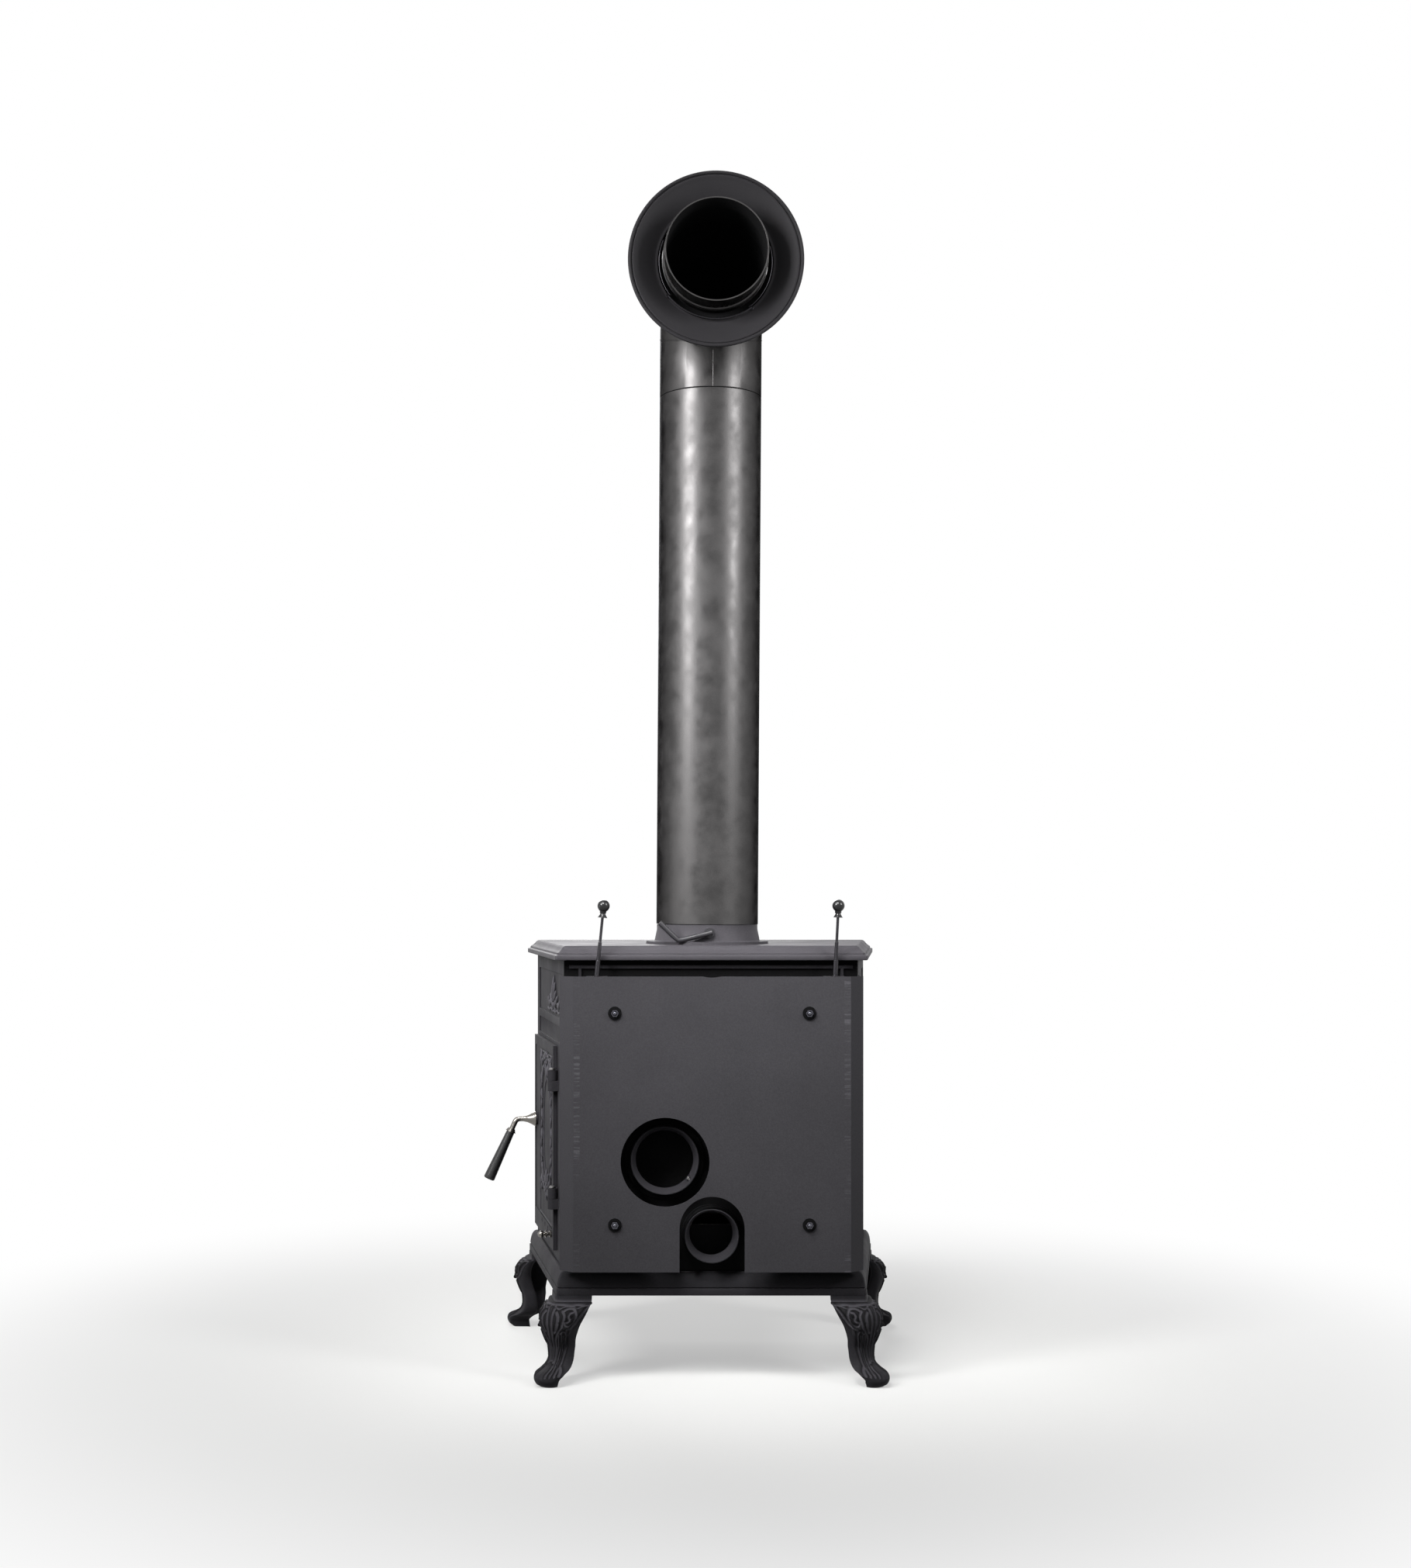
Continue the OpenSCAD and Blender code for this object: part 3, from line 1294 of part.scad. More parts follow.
// Wall rosette: a rolled rim, a dish and two hooks for its spring
module rosette_frame() {
    lean_flue() translate([0, rosette_rim_y, rosette_z]) rotate([90, 0, 0]) children();
}
module wall_rosette() {
    t = rosette_sheet;
    flat_r = rosette_r - 2 * rosette_rim_r;
    mid_r = mix(rosette_hole_r, flat_r, 0.22);
    color("#3e3e40") rosette_frame() {
        rotate_extrude() union() {
            polygon([
                [rosette_hole_r, rosette_dish - t], [mid_r, 0.80 * rosette_dish - t],
                [mix(mid_r, flat_r, 0.5), 0.52 * rosette_dish - t], [flat_r, rosette_rim_r - t / 2],
                [flat_r + rosette_rim_r, rosette_rim_r - t / 2],
                [flat_r + rosette_rim_r, rosette_rim_r + t / 2], [flat_r, rosette_rim_r + t / 2],
                [mix(mid_r, flat_r, 0.5), 0.52 * rosette_dish], [mid_r, 0.80 * rosette_dish],
                [rosette_hole_r, rosette_dish]
            ]);
            translate([rosette_r - rosette_rim_r, rosette_rim_r]) circle(r = rosette_rim_r);
        }
        for (a = spring_hook_a) rotate([0, 0, a])
            translate([rosette_hole_r - t, -hook_size / 2, rosette_dish - hook_size])
                cube([2 * t, hook_size, hook_size]);
    }
}
// Spring wire between the hooks, bowed under the outlet
module rosette_spring() {
    p = polar(rosette_hole_r + hook_size / 4, spring_hook_a[0]);
    q = polar(rosette_hole_r + hook_size / 4, spring_hook_a[1]);
    half = norm(p - q) / 2;
    span = asin(half / spring_bow_r);
    away = (p + q) / norm(p + q);
    centre = (p + q) / 2 - away * spring_bow_r * cos(span);
    mid_a = atan2(away[1], away[0]);
    color("#6f6f72") rosette_frame() translate([centre[0], centre[1], rosette_dish - hook_size - spring_r])
        rotate([0, 0, mid_a - span]) rotate_extrude(angle = 2 * span)
            translate([spring_bow_r, 0]) circle(r = spring_r);
}

base_casting();
leg_rear_right();
leg_rear_left();
leg_front_right();
leg_front_left();
tie_rods();
leg_nuts();
left_side_panel();
right_side_frame();
rear_panel();
front_frame();
top_plate();
flue_collar();
collar_bolts();
rear_heat_shield();
shield_spacers();
shield_bolts();
large_air_inlet();
inlet_screw();
small_air_inlet();
shutter_guides();
rear_air_box();
firebricks_left();
firebricks_rear();
baffle_plate();
grate_carrier();
grate();
log_retainer();
side_hinge_pins();
front_hinge_pins();
flue_pipe();
side_door();
side_door_gasket();
side_latch_spindle();
side_handle_stem();
side_handle_grip();
side_air_slide();
side_air_knob();
front_door();
front_door_glass();
glass_clips();
front_door_gasket();
front_latch_spindle();
front_handle_stem();
front_handle_grip();
ash_drawer();
ash_drawer_front();
ash_drawer_knob();
right_air_shutter();
right_air_rod();
right_rod_knob();
left_air_shutter();
left_air_rod();
left_rod_knob();
damper_disc();
damper_spindle();
flue_elbow();
elbow_outlet();
wall_rosette();
rosette_spring();
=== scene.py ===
"""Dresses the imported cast-iron wood stove: castings with relief, sheet-steel flue, fittings and a plain studio."""

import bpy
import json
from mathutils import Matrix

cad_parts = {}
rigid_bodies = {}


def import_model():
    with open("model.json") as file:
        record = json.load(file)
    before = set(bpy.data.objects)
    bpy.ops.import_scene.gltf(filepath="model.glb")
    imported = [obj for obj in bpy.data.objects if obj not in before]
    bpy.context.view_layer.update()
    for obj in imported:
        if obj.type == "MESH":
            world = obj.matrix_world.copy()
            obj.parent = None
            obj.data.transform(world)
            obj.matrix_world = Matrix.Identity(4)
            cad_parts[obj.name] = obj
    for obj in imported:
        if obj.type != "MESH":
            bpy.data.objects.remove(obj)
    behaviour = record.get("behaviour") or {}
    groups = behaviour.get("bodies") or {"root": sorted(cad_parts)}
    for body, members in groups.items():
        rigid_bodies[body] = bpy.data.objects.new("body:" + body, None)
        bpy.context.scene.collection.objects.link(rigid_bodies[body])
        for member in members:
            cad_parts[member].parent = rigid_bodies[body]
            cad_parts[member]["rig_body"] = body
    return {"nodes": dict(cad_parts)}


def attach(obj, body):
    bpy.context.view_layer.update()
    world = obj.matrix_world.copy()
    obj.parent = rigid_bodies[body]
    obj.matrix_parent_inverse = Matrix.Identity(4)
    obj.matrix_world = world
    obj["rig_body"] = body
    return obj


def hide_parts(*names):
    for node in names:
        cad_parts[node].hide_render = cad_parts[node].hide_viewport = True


bl_info = {
    "name": "Cast-iron wood stove",
    "version": (1, 0, 0),
    "blender": (4, 5, 0),
    "location": "3D View > Sidebar > Stove",
    "description": "Builds the visible pieces of a small wood stove with its flue over the packed frame",
    "category": "Object",
}

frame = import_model()

import json
import math

import bmesh
import bpy
import numpy as np
from mathutils import Matrix, Vector

MM = 0.001


# Sizes and colours

def linear(code):
    """An sRGB hex colour as the linear RGBA that Blender's sockets take."""
    channels = [int(code[i:i + 2], 16) / 255 for i in (1, 3, 5)]
    return tuple(c / 12.92 if c <= 0.04045 else ((c + 0.055) / 1.055) ** 2.4 for c in channels) + (1.0,)


def length(name, about, default, low, high):
    return bpy.props.FloatProperty(
        name=name, description=about, default=default, min=low, max=high, unit="LENGTH", precision=4)


def paint(name, about, code):
    return bpy.props.FloatVectorProperty(
        name=name, description=about, default=linear(code), size=4, min=0.0, max=1.0, subtype="COLOR")


class StoveCasting(bpy.types.PropertyGroup):
    """Sizes of the iron castings, in metres, and the colour of their paint."""
    plate_rear_w: length("Top plate, rear width", "Width of the top plate along its rear", 0.442, 0.42, 0.48)
    plate_front_w: length("Top plate, front width", "Width of the top plate along its front", 0.552, 0.53, 0.6)
    plate_depth: length("Top plate, depth", "Depth of the top plate from front to rear", 0.386, 0.37, 0.43)
    plate_t: length("Top plate, thickness", "Thickness of the top plate", 0.0205, 0.018, 0.026)
    leg_h: length("Leg height", "Height of the legs", 0.124, 0.1, 0.17)
    leg_reach: length("Leg reach", "How far a leg stands out from the middle of the stove", 0.3092, 0.28, 0.33)
    leg_wing: length("Leg wing", "Width of a leg along each wall, below the base", 0.051, 0.045, 0.06)
    base_step: length("Base step", "Offset of the base's band from the plate's edge", 0.0025, 0.001, 0.005)
    base_inside: length("Base inside", "Base's inner face, from the plate's edge", 0.0105, 0.008, 0.012)
    base_band: length("Base band", "Height of the flat band at the foot of the base", 0.01, 0.008, 0.012)
    base_h: length("Base height", "Height of the base casting", 0.033, 0.028, 0.042)
    casing_h: length("Wall height", "Height of the walls between base and top plate", 0.4415, 0.43, 0.5)
    relief: bpy.props.FloatProperty(
        name="Relief", description="How boldly the cast relief stands out", default=1.0, min=0.0, max=1.5)
    iron: paint("Iron", "Stove paint on the castings", "#2d2c2f")
    # A paler copy of the iron paint: painted light on top plate and collar from above
    plate_iron_painted_light: paint("Plate iron", "Stove paint on top plate and collar, greyed by heat", "#413f43")
    edge: length("Edge", "Rounding that casting and fettling leave on an edge", 0.0007, 0.0002, 0.002)


class StoveDoor(bpy.types.PropertyGroup):
    """Sizes of the side walls' recesses and of the side door, in metres along the wall and above the floor."""
    wall_x: length("Wall place", "Side wall's distance from the middle, at half depth", 0.233854, 0.2, 0.26)
    panel_y0: length("Panel front end", "Front end of the ornament on the door", -0.092, -0.15, 0.0)
    panel_y1: length("Panel rear end", "Rear end of the ornament on the door", 0.079, 0.0, 0.09)
    recess_z0: length("Recess foot", "Lowest line of the recess in the door", 0.199, 0.19, 0.3)
    recess_z1: length("Recess top", "Highest line of the recess in the door", 0.456, 0.3, 0.47)
    door_floor: length("Recess floor", "Distance of the recess's floor from the wall's face", 0.0048, 0.0, 0.006)
    frieze_y: length("Frieze half length", "Half length of the frieze's recess in the wall", 0.153, 0.1, 0.16)
    frieze_z0: length("Frieze foot", "Lowest line of the frieze's recess", 0.5125, 0.5, 0.53)
    frieze_z1: length("Frieze top", "Highest line of the frieze's recess", 0.5765, 0.55, 0.59)
    wall_recess: length("Wall recess", "Depth of the recesses in the side walls", 0.002, 0.001, 0.004)


class StoveFlue(bpy.types.PropertyGroup):
    """Sizes of the flue, in metres, and its colours."""
    pipe_r: length("Pipe radius", "Radius of the flue pipe", 0.075, 0.07, 0.078)
    flue_hole_r: length("Flue opening", "Radius of the opening in the top plate", 0.066, 0.06, 0.08)
    flue_y: length("Flue place", "Distance of the flue's axis behind the middle", 0.057, 0.04, 0.08)
    flue_foot: length("Flue foot", "Height of the pipe's lower end", 0.6475, 0.62, 0.7)
    flue_lean: bpy.props.FloatProperty(
        name="Flue lean", description="Lean of the flue towards the left side", default=math.radians(0.37),
        min=0.0, max=0.02, subtype="ANGLE")
    joint_z: length("Elbow joint", "Height of the line where the elbow's foot enters the pipe", 1.4235, 1.3, 1.6)
    bend_y: length("Bend centre", "Distance of the elbow's bend centre behind the middle", 0.169, 0.15, 0.2)
    bend_z: length("Bend height", "Height of the elbow's bend centre", 1.4805, 1.4, 1.6)
    outlet_y: length("Outlet start", "Where the outlet's sleeve starts, behind the middle", 0.19, 0.18, 0.22)
    outlet_z: length("Outlet height", "Height of the outlet's axis", 1.5925, 1.5, 1.7)
    rosette_r: length("Rosette radius", "Outer radius of the wall rosette", 0.1243, 0.115, 0.14)
    rosette_hole_r: length("Rosette hole", "Radius of the hole in the wall rosette", 0.0818, 0.078, 0.09)
    rosette_y: length("Rosette rim", "Distance of the rosette's rim behind the middle", 0.2067, 0.19, 0.22)
    rosette_drop: length("Rosette drop", "How far the rosette hangs below the outlet's axis", 0.0065, 0.0, 0.01)
    pipe_paint: paint("Pipe", "Flaked heat-proof paint on pipe and elbow", "#484747")
    rosette_paint: paint("Rosette", "Matt paint on the wall rosette", "#2b2a2c")
    sheet_paint: paint("Sheet", "Powder coat on the rear heat shield", "#3a393c")
    fold_x: length("Fold place", "Distance of the shield's folding marks from the middle", 0.19, 0.17, 0.2)


class StoveRear(bpy.types.PropertyGroup):
    """Sizes of the rear, in metres: the two air inlets, and where the washers and the shield end."""
    large_x: length("Large inlet place", "Distance of the large inlet from the middle", 0.066, 0.05, 0.08)
    large_z: length("Large inlet height", "Height of the large inlet's axis", 0.316, 0.3, 0.33)
    large_r: length("Large inlet radius", "Outer radius of the large inlet's sleeve", 0.0485, 0.045, 0.052)
    large_rim_y: length("Large inlet rim", "Large inlet's rim, behind the middle", 0.1975, 0.19, 0.21)
    large_flange: length("Large inlet flange", "Width of the large inlet's flange", 0.008, 0.002, 0.01)
    small_x: length("Small inlet place", "Distance of the small inlet from the middle", 0.0, -0.01, 0.01)
    small_z: length("Small inlet height", "Height of the small inlet's axis", 0.211, 0.2, 0.22)
    small_r: length("Small inlet radius", "Outer radius of the small inlet's sleeve", 0.0383, 0.035, 0.042)
    small_rim_y: length("Small inlet rim", "Small inlet's rim, behind the middle", 0.2075, 0.2, 0.22)
    small_flange: length("Small inlet flange", "Width of the small inlet's flange", 0.003, 0.002, 0.01)
    inlet_foot_y: length("Inlet foot", "Distance of the inlets' feet behind the middle", 0.1785, 0.17, 0.185)
    washer_y: length("Washer face", "Distance of the washers' outer faces behind the middle", 0.2166, 0.21, 0.22)
    shade_z: length("Shade line", "Height up to which the shield shades the rear panel", 0.55, 0.5, 0.58)


class StoveFitting(bpy.types.PropertyGroup):
    """Colours of the fittings."""
    nickel: paint("Nickel", "Nickel plate on stems and beads", "#7b7874")
    steel: paint("Steel", "Bare steel of pins and screws", "#7d7c7b")
    grip: paint("Grip", "Moulded black grip", "#111112")


class StoveStudio(bpy.types.PropertyGroup):
    """Camera and light of the studio."""
    camera: bpy.props.FloatVectorProperty(
        name="Camera", description="Place of the lens", default=(0.1364, 3.0997, 0.6962), size=3,
        subtype="TRANSLATION", unit="LENGTH")
    lens: bpy.props.FloatProperty(
        name="Lens", description="Focal length on a 36 mm sensor", default=47.23, min=20, max=200, unit="CAMERA")
    shift: bpy.props.FloatVectorProperty(
        name="Shift", description="Shift of the lens that frames the stove", default=(0.0578, 0.0684), size=2)
    floor: paint("Floor", "Pale floor, as it is seen", "#b4b4b2")
    floor_bounce: paint("Floor bounce", "Floor, as it throws light back on the stove", "#636362")
    floor_lift: bpy.props.FloatProperty(
        name="Floor lift", description="Share of white that the floor shows to the camera", default=0.45,
        min=0, max=1)
    fade_start: length("Fade start", "Distance at which the floor starts to pass into white", 0.45, 0.3, 3.0)
    fade_end: length("Fade end", "Distance at which the floor is white", 1.5, 1.0, 8.0)
    fill: bpy.props.FloatProperty(
        name="Fill", description="Strength of the light that comes from all round", default=0.07, min=0, max=2)
    key: bpy.props.FloatProperty(
        name="Key", description="Power that the soft boxes share, in watts", default=60.0, min=0)


# Materials

def add(tree, kind, inputs={}, **settings):
    """Adds one shader node with its settings. An input takes a value, a socket, or the first output of a node."""
    made = tree.nodes.new("ShaderNode" + kind)
    for name, value in settings.items():
        setattr(made, name, value)
    for socket, value in inputs.items():
        if isinstance(value, bpy.types.Node):
            value = next(out for out in value.outputs if out.enabled)
        if isinstance(value, bpy.types.NodeSocket):
            tree.links.new(value, made.inputs[socket])
        else:
            made.inputs[socket].default_value = value
    return made


def new_finish(name):
    """An empty material with its object coordinates, which are metres in the stove's frame."""
    made = bpy.data.materials.new(name)
    made.use_nodes = True
    tree = made.node_tree
    tree.nodes.clear()
    where = add(tree, "TexCoord").outputs["Object"]
    return made, tree, where


def painted(name, colour, grain_mm, grain_depth_mm, rough, spread, tone, shine=0.5, cloud_mm=60.0, flake=None):
    """Shared nodes of a painted metal: grain in the bump, drifting tone and gloss in the colour.

    Where a mesh carries a relief value on its points, the colour is painted paler on ridges as painted highlight and
    darker in grooves as painted shade.
    flake is the edge colour of a paint whose metal flakes mirror more light than its body scatters.
    """
    made, tree, where = new_finish(name)
    grain = add(tree, "TexNoise", {"Vector": where, "Scale": 1 / (grain_mm * MM), "Detail": 3.0,
                                             "Roughness": 0.6})
    cloud = add(tree, "TexNoise", {"Vector": where, "Scale": 1 / (cloud_mm * MM), "Detail": 4.0})
    dark = [c * (1 - tone) for c in colour[:3]] + [1.0]
    pale = [c * (1 + tone) for c in colour[:3]] + [1.0]
    hue = add(tree, "Mix", {"Factor": cloud, "A": dark, "B": pale}, data_type="RGBA")
    speck = add(tree, "MapRange", {"Value": grain, "From Min": 0.3, "From Max": 0.7,
                                             "To Min": 1 - 0.5 * tone, "To Max": 1 + 0.5 * tone})
    lift = add(tree, "Attribute", attribute_name="relief_painted_shade").outputs["Fac"]
    # Painted light: 4 to the power of the relief value makes ridges paler as painted highlight and grooves darker as
    # painted shade
    painted_relief_shade = add(tree, "Math", {0: 4.0, 1: lift}, operation="POWER")
    strength = add(tree, "Math", {0: painted_relief_shade, 1: speck}, operation="MULTIPLY")
    tint = add(tree, "VectorMath", {0: hue, "Scale": strength}, operation="SCALE")
    gloss = add(tree, "MapRange", {"Value": cloud, "From Min": 0.3, "From Max": 0.7,
                                             "To Min": rough - spread, "To Max": rough + spread})
    bump = add(tree, "Bump", {"Height": grain, "Distance": grain_depth_mm * MM, "Strength": 1.0})
    shader = add(tree, "BsdfPrincipled", {
        "Base Color": tint, "Roughness": gloss, "Normal": bump,
        "IOR": 1.5, "Specular IOR Level": shine})
    if flake:
        shader.inputs["Metallic"].default_value = 1.0
        shader.inputs["Specular Tint"].default_value = flake
    add(tree, "OutputMaterial", {"Surface": shader})
    return made


def metal(name, colour, rough, streak_mm, depth_mm):
    """Shared nodes of a bare or plated metal: fine streaks in gloss and bump."""
    made, tree, where = new_finish(name)
    streak = add(tree, "TexNoise", {"Vector": where, "Scale": 1 / (streak_mm * MM), "Detail": 2.0})
    gloss = add(tree, "MapRange", {"Value": streak, "To Min": rough * 0.7, "To Max": rough * 1.3})
    bump = add(tree, "Bump", {"Height": streak, "Distance": depth_mm * MM, "Strength": 0.6})
    shader = add(tree, "BsdfPrincipled", {
        "Base Color": colour, "Metallic": 1.0, "Roughness": gloss, "Normal": bump})
    add(tree, "OutputMaterial", {"Surface": shader})
    return made


def sand_cast_iron():
    """Grey iron cast in green sand under matt stove paint: a fine even pimple and slow drifts of tone."""
    sizes = bpy.context.scene.stove_casting
    # Moulding sand is 0.2 to 0.4 mm; drawn 2.2 mm coarse so that it shows at the size of the picture
    return painted("sand_cast_iron_painted", tuple(sizes.iron),
                   grain_mm=2.2, grain_depth_mm=0.16, rough=0.62, spread=0.07, tone=0.18, shine=0.06)


def paler_iron_painted_light():
    """A paler copy of the sand-cast iron paint for top plate and collar: painted light, for the light that falls on
    them from above.
    """
    sizes = bpy.context.scene.stove_casting
    # Moulding sand drawn 2.2 mm coarse, as on the other castings
    return painted("sand_cast_iron_paler_painted_light", tuple(sizes.plate_iron_painted_light),
                   grain_mm=2.2, grain_depth_mm=0.16, rough=0.55, spread=0.07, tone=0.16, shine=0.14)


def powder_coated_sheet():
    """Folded steel sheet under powder coat: flatter than the castings, with a faint orange peel."""
    sizes = bpy.context.scene.stove_flue
    # Orange peel repeats about every 2 mm
    made = painted("steel_sheet_powder_coated", tuple(sizes.sheet_paint),
                   grain_mm=2.0, grain_depth_mm=0.1, rough=0.6, spread=0.06, tone=0.2, shine=0.08, cloud_mm=110.0)
    tree = made.node_tree
    shader = tree.nodes["Principled BSDF"]
    where = tree.nodes["Texture Coordinate"].outputs["Object"]
    tint = shader.inputs["Base Color"].links[0].from_socket
    # Tool marks of the folding press: short ticks, 2 to 5 mm apart, within 5 mm of the folds
    across = add(tree, "SeparateXYZ", {0: where})
    across = add(tree, "Math", {0: across}, operation="ABSOLUTE")
    off = add(tree, "Math", {0: across, 1: sizes.fold_x}, operation="SUBTRACT")
    off = add(tree, "Math", {0: off}, operation="ABSOLUTE")
    near = add(tree, "MapRange", {"Value": off, "From Min": 5.0 * MM, "From Max": 3.5 * MM})
    flat = add(tree, "Mapping", {"Vector": where, "Scale": (30, 30, 420)})
    tick = add(tree, "TexNoise", {"Vector": flat, "Scale": 1.0, "Detail": 1.0})
    tick = add(tree, "MapRange", {"Value": tick, "From Min": 0.52, "From Max": 0.62})
    mark = add(tree, "Math", {0: near, 1: tick}, operation="MULTIPLY")
    patch = add(tree, "TexNoise", {"Vector": where, "Scale": 1 / 0.07, "Detail": 1.0})
    patch = add(tree, "MapRange", {"Value": patch, "From Min": 0.4, "From Max": 0.6,
                                             "To Max": 0.5})
    mark = add(tree, "Math", {0: mark, 1: patch}, operation="MULTIPLY")
    pale = add(tree, "VectorMath", {0: tint, "Scale": 2.2}, operation="SCALE")
    hue = add(tree, "Mix", {"Factor": mark, "A": tint, "B": pale}, data_type="RGBA")
    tree.links.new(hue.outputs["Result"], shader.inputs["Base Color"])
    return made


def sprayed_flue_steel():
    """Rolled flue steel under heat-proof paint full of metal flake: dark, and lamps draw long bands on it."""
    sizes = bpy.context.scene.stove_flue
    # Spray mist leaves a dry grain of about 1 mm; drawn 1.6 mm coarse
    return painted("flue_steel_sprayed", tuple(sizes.pipe_paint),
                   grain_mm=1.6, grain_depth_mm=0.06, rough=0.42, spread=0.09, tone=0.14, shine=0.5,
                   cloud_mm=24.0, flake=linear("#6e6e70"))


def matt_flue_steel():
    """Spun rosette steel under matt heat-proof paint: duller than the pipe."""
    sizes = bpy.context.scene.stove_flue
    # Overspray settles as dust of about 1 mm; drawn 1.6 mm coarse
    return painted("rosette_steel_spun_sprayed", tuple(sizes.rosette_paint),
                   grain_mm=1.6, grain_depth_mm=0.06, rough=0.48, spread=0.05, tone=0.1, shine=0.08)


def black_iron_and_painted_shadow():
    """Near-black iron almost without gloss: painted shadow on the rear wall behind the shield and round the inlets,
    and the own black of the shield's washers.
    """
    return painted("sand_cast_iron_black_and_painted_shadow", linear("#0c0c0d"),
                   grain_mm=2.2, grain_depth_mm=0.16, rough=0.8, spread=0.05, tone=0.2, shine=0.06)


def plated_nickel():
    """Bright nickel plate on turned steel: warm white mirror with a little softness."""
    colour = tuple(bpy.context.scene.stove_fitting.nickel)
    return metal("nickel_plated_turned", colour, rough=0.24, streak_mm=3.0, depth_mm=0.01)


def drawn_steel():
    """Drawn bright steel, a little dull from handling."""
    colour = tuple(bpy.context.scene.stove_fitting.steel)
    return metal("steel_drawn", colour, rough=0.34, streak_mm=1.5, depth_mm=0.02)


def oiled_rod_steel():
    """Oil-blackened steel rod and spring wire: dark metal that keeps a narrow bright line."""
    return metal("steel_rod_oiled", linear("#3a393c"), rough=0.3, streak_mm=2.0, depth_mm=0.02)


def blackened_steel():
    """Blackened steel of nuts and washers: dark metal with an oily gloss."""
    return metal("steel_blackened_oiled", linear("#2b2b2e"), rough=0.3, streak_mm=2.0, depth_mm=0.03)


def passivated_nut():
    """Acorn nut, turned and darkly passivated: smooth grey metal with a small bright glint."""
    return metal("nut_turned_passivated", linear("#4c4c52"), rough=0.2, streak_mm=2.0, depth_mm=0.01)


def sprayed_handle():
    """Bent rod under satin stove paint: mid grey, soft line of light along its top."""
    # Spray grain of 1.2 mm
    return painted("handle_rod_sprayed", linear("#302f32"),
                   grain_mm=1.2, grain_depth_mm=0.05, rough=0.42, spread=0.05, tone=0.1, shine=0.35)


def moulded_phenolic():
    """Moulded black phenolic: deep gloss, faint flow marks."""
    made, tree, where = new_finish("phenolic_moulded_gloss")
    flow = add(tree, "TexNoise", {"Vector": where, "Scale": 1 / 0.012, "Detail": 2.0})
    gloss = add(tree, "MapRange", {"Value": flow, "To Min": 0.18, "To Max": 0.3})
    shader = add(tree, "BsdfPrincipled", {
        "Base Color": tuple(bpy.context.scene.stove_fitting.grip), "Roughness": gloss, "IOR": 1.6,
        "Specular IOR Level": 0.3})
    add(tree, "OutputMaterial", {"Surface": shader})
    return made


def moulded_grip():
    """Fibre-filled moulded grip: near black, dull, with a fine pebble from the mould."""
    made, tree, where = new_finish("grip_moulded_matt")
    pebble = add(tree, "TexNoise", {"Vector": where, "Scale": 1 / 0.0014, "Detail": 2.0})
    bump = add(tree, "Bump", {"Height": pebble, "Distance": 0.05 * MM, "Strength": 0.7})
    shader = add(tree, "BsdfPrincipled", {
        "Base Color": tuple(bpy.context.scene.stove_fitting.grip), "Roughness": 0.45,
        "Normal": bump})
    add(tree, "OutputMaterial", {"Surface": shader})
    return made


def black_painted_shade_sheet():
    """Near-black sheet that takes nearly all the light: painted shade inside flue and air box, in the rosette's neck
    and on the elbow's foot in the pipe.
    """
    # The near-black lies in soft clots of 3 to 6 mm
    return painted("steel_sheet_black_painted_shade", linear("#0d0d0e"),
                   grain_mm=4.0, grain_depth_mm=0.3, rough=0.9, spread=0.05, tone=0.3, shine=0.1)


def pressed_vermiculite():
    """Pressed vermiculite brick: pale buff with golden flakes and a soft, crumbly face."""
    made, tree, where = new_finish("vermiculite_pressed")
    flake = add(tree, "TexVoronoi", {"Vector": where, "Scale": 1 / 0.003})
    dust = add(tree, "TexNoise", {"Vector": where, "Scale": 1 / 0.03, "Detail": 5.0})
    hue = add(tree, "Mix", {"Factor": dust, "A": linear("#b39a6a"), "B": linear("#d8c69c")}, data_type="RGBA")
    bump = add(tree, "Bump", {"Height": flake, "Distance": 0.4 * MM, "Strength": 0.6})
    shader = add(tree, "BsdfPrincipled", {
        "Base Color": hue, "Roughness": 0.9, "Normal": bump})
    add(tree, "OutputMaterial", {"Surface": shader})
    return made


def braided_rope():
    """Braided glass-fibre rope: soft grey-white with the slant of the braid, 3 mm a turn."""
    made, tree, where = new_finish("glass_fibre_rope_braided")
    braid = add(tree, "TexWave", {"Vector": where, "Scale": 0.32 / 0.003, "Distortion": 1.5},
                bands_direction="DIAGONAL").outputs["Fac"]
    hue = add(tree, "Mix", {"Factor": braid, "A": linear("#6f6c66"), "B": linear("#a8a49b")}, data_type="RGBA")
    bump = add(tree, "Bump", {"Height": braid, "Distance": 0.5 * MM, "Strength": 0.8})
    shader = add(tree, "BsdfPrincipled", {
        "Base Color": hue, "Roughness": 0.85, "Normal": bump,
        "Sheen Weight": 0.3})
    add(tree, "OutputMaterial", {"Surface": shader})
    return made


def ceramic_glass():
    """Rolled glass-ceramic: clear with a faint amber body, smoked a little in drifting patches."""
    made, tree, where = new_finish("glass_ceramic_rolled")
    smoke = add(tree, "TexNoise", {"Vector": where, "Scale": 1 / 0.05, "Detail": 3.0})
    gloss = add(tree, "MapRange", {"Value": smoke, "To Min": 0.02, "To Max": 0.1})
    hue = add(tree, "Mix", {"Factor": smoke, "A": linear("#c7bca6"), "B": linear("#e8e4da")}, data_type="RGBA")
    shader = add(tree, "BsdfPrincipled", {
        "Base Color": hue, "Roughness": gloss, "IOR": 1.53, "Transmission Weight": 0.92})
    add(tree, "OutputMaterial", {"Surface": shader})
    return made


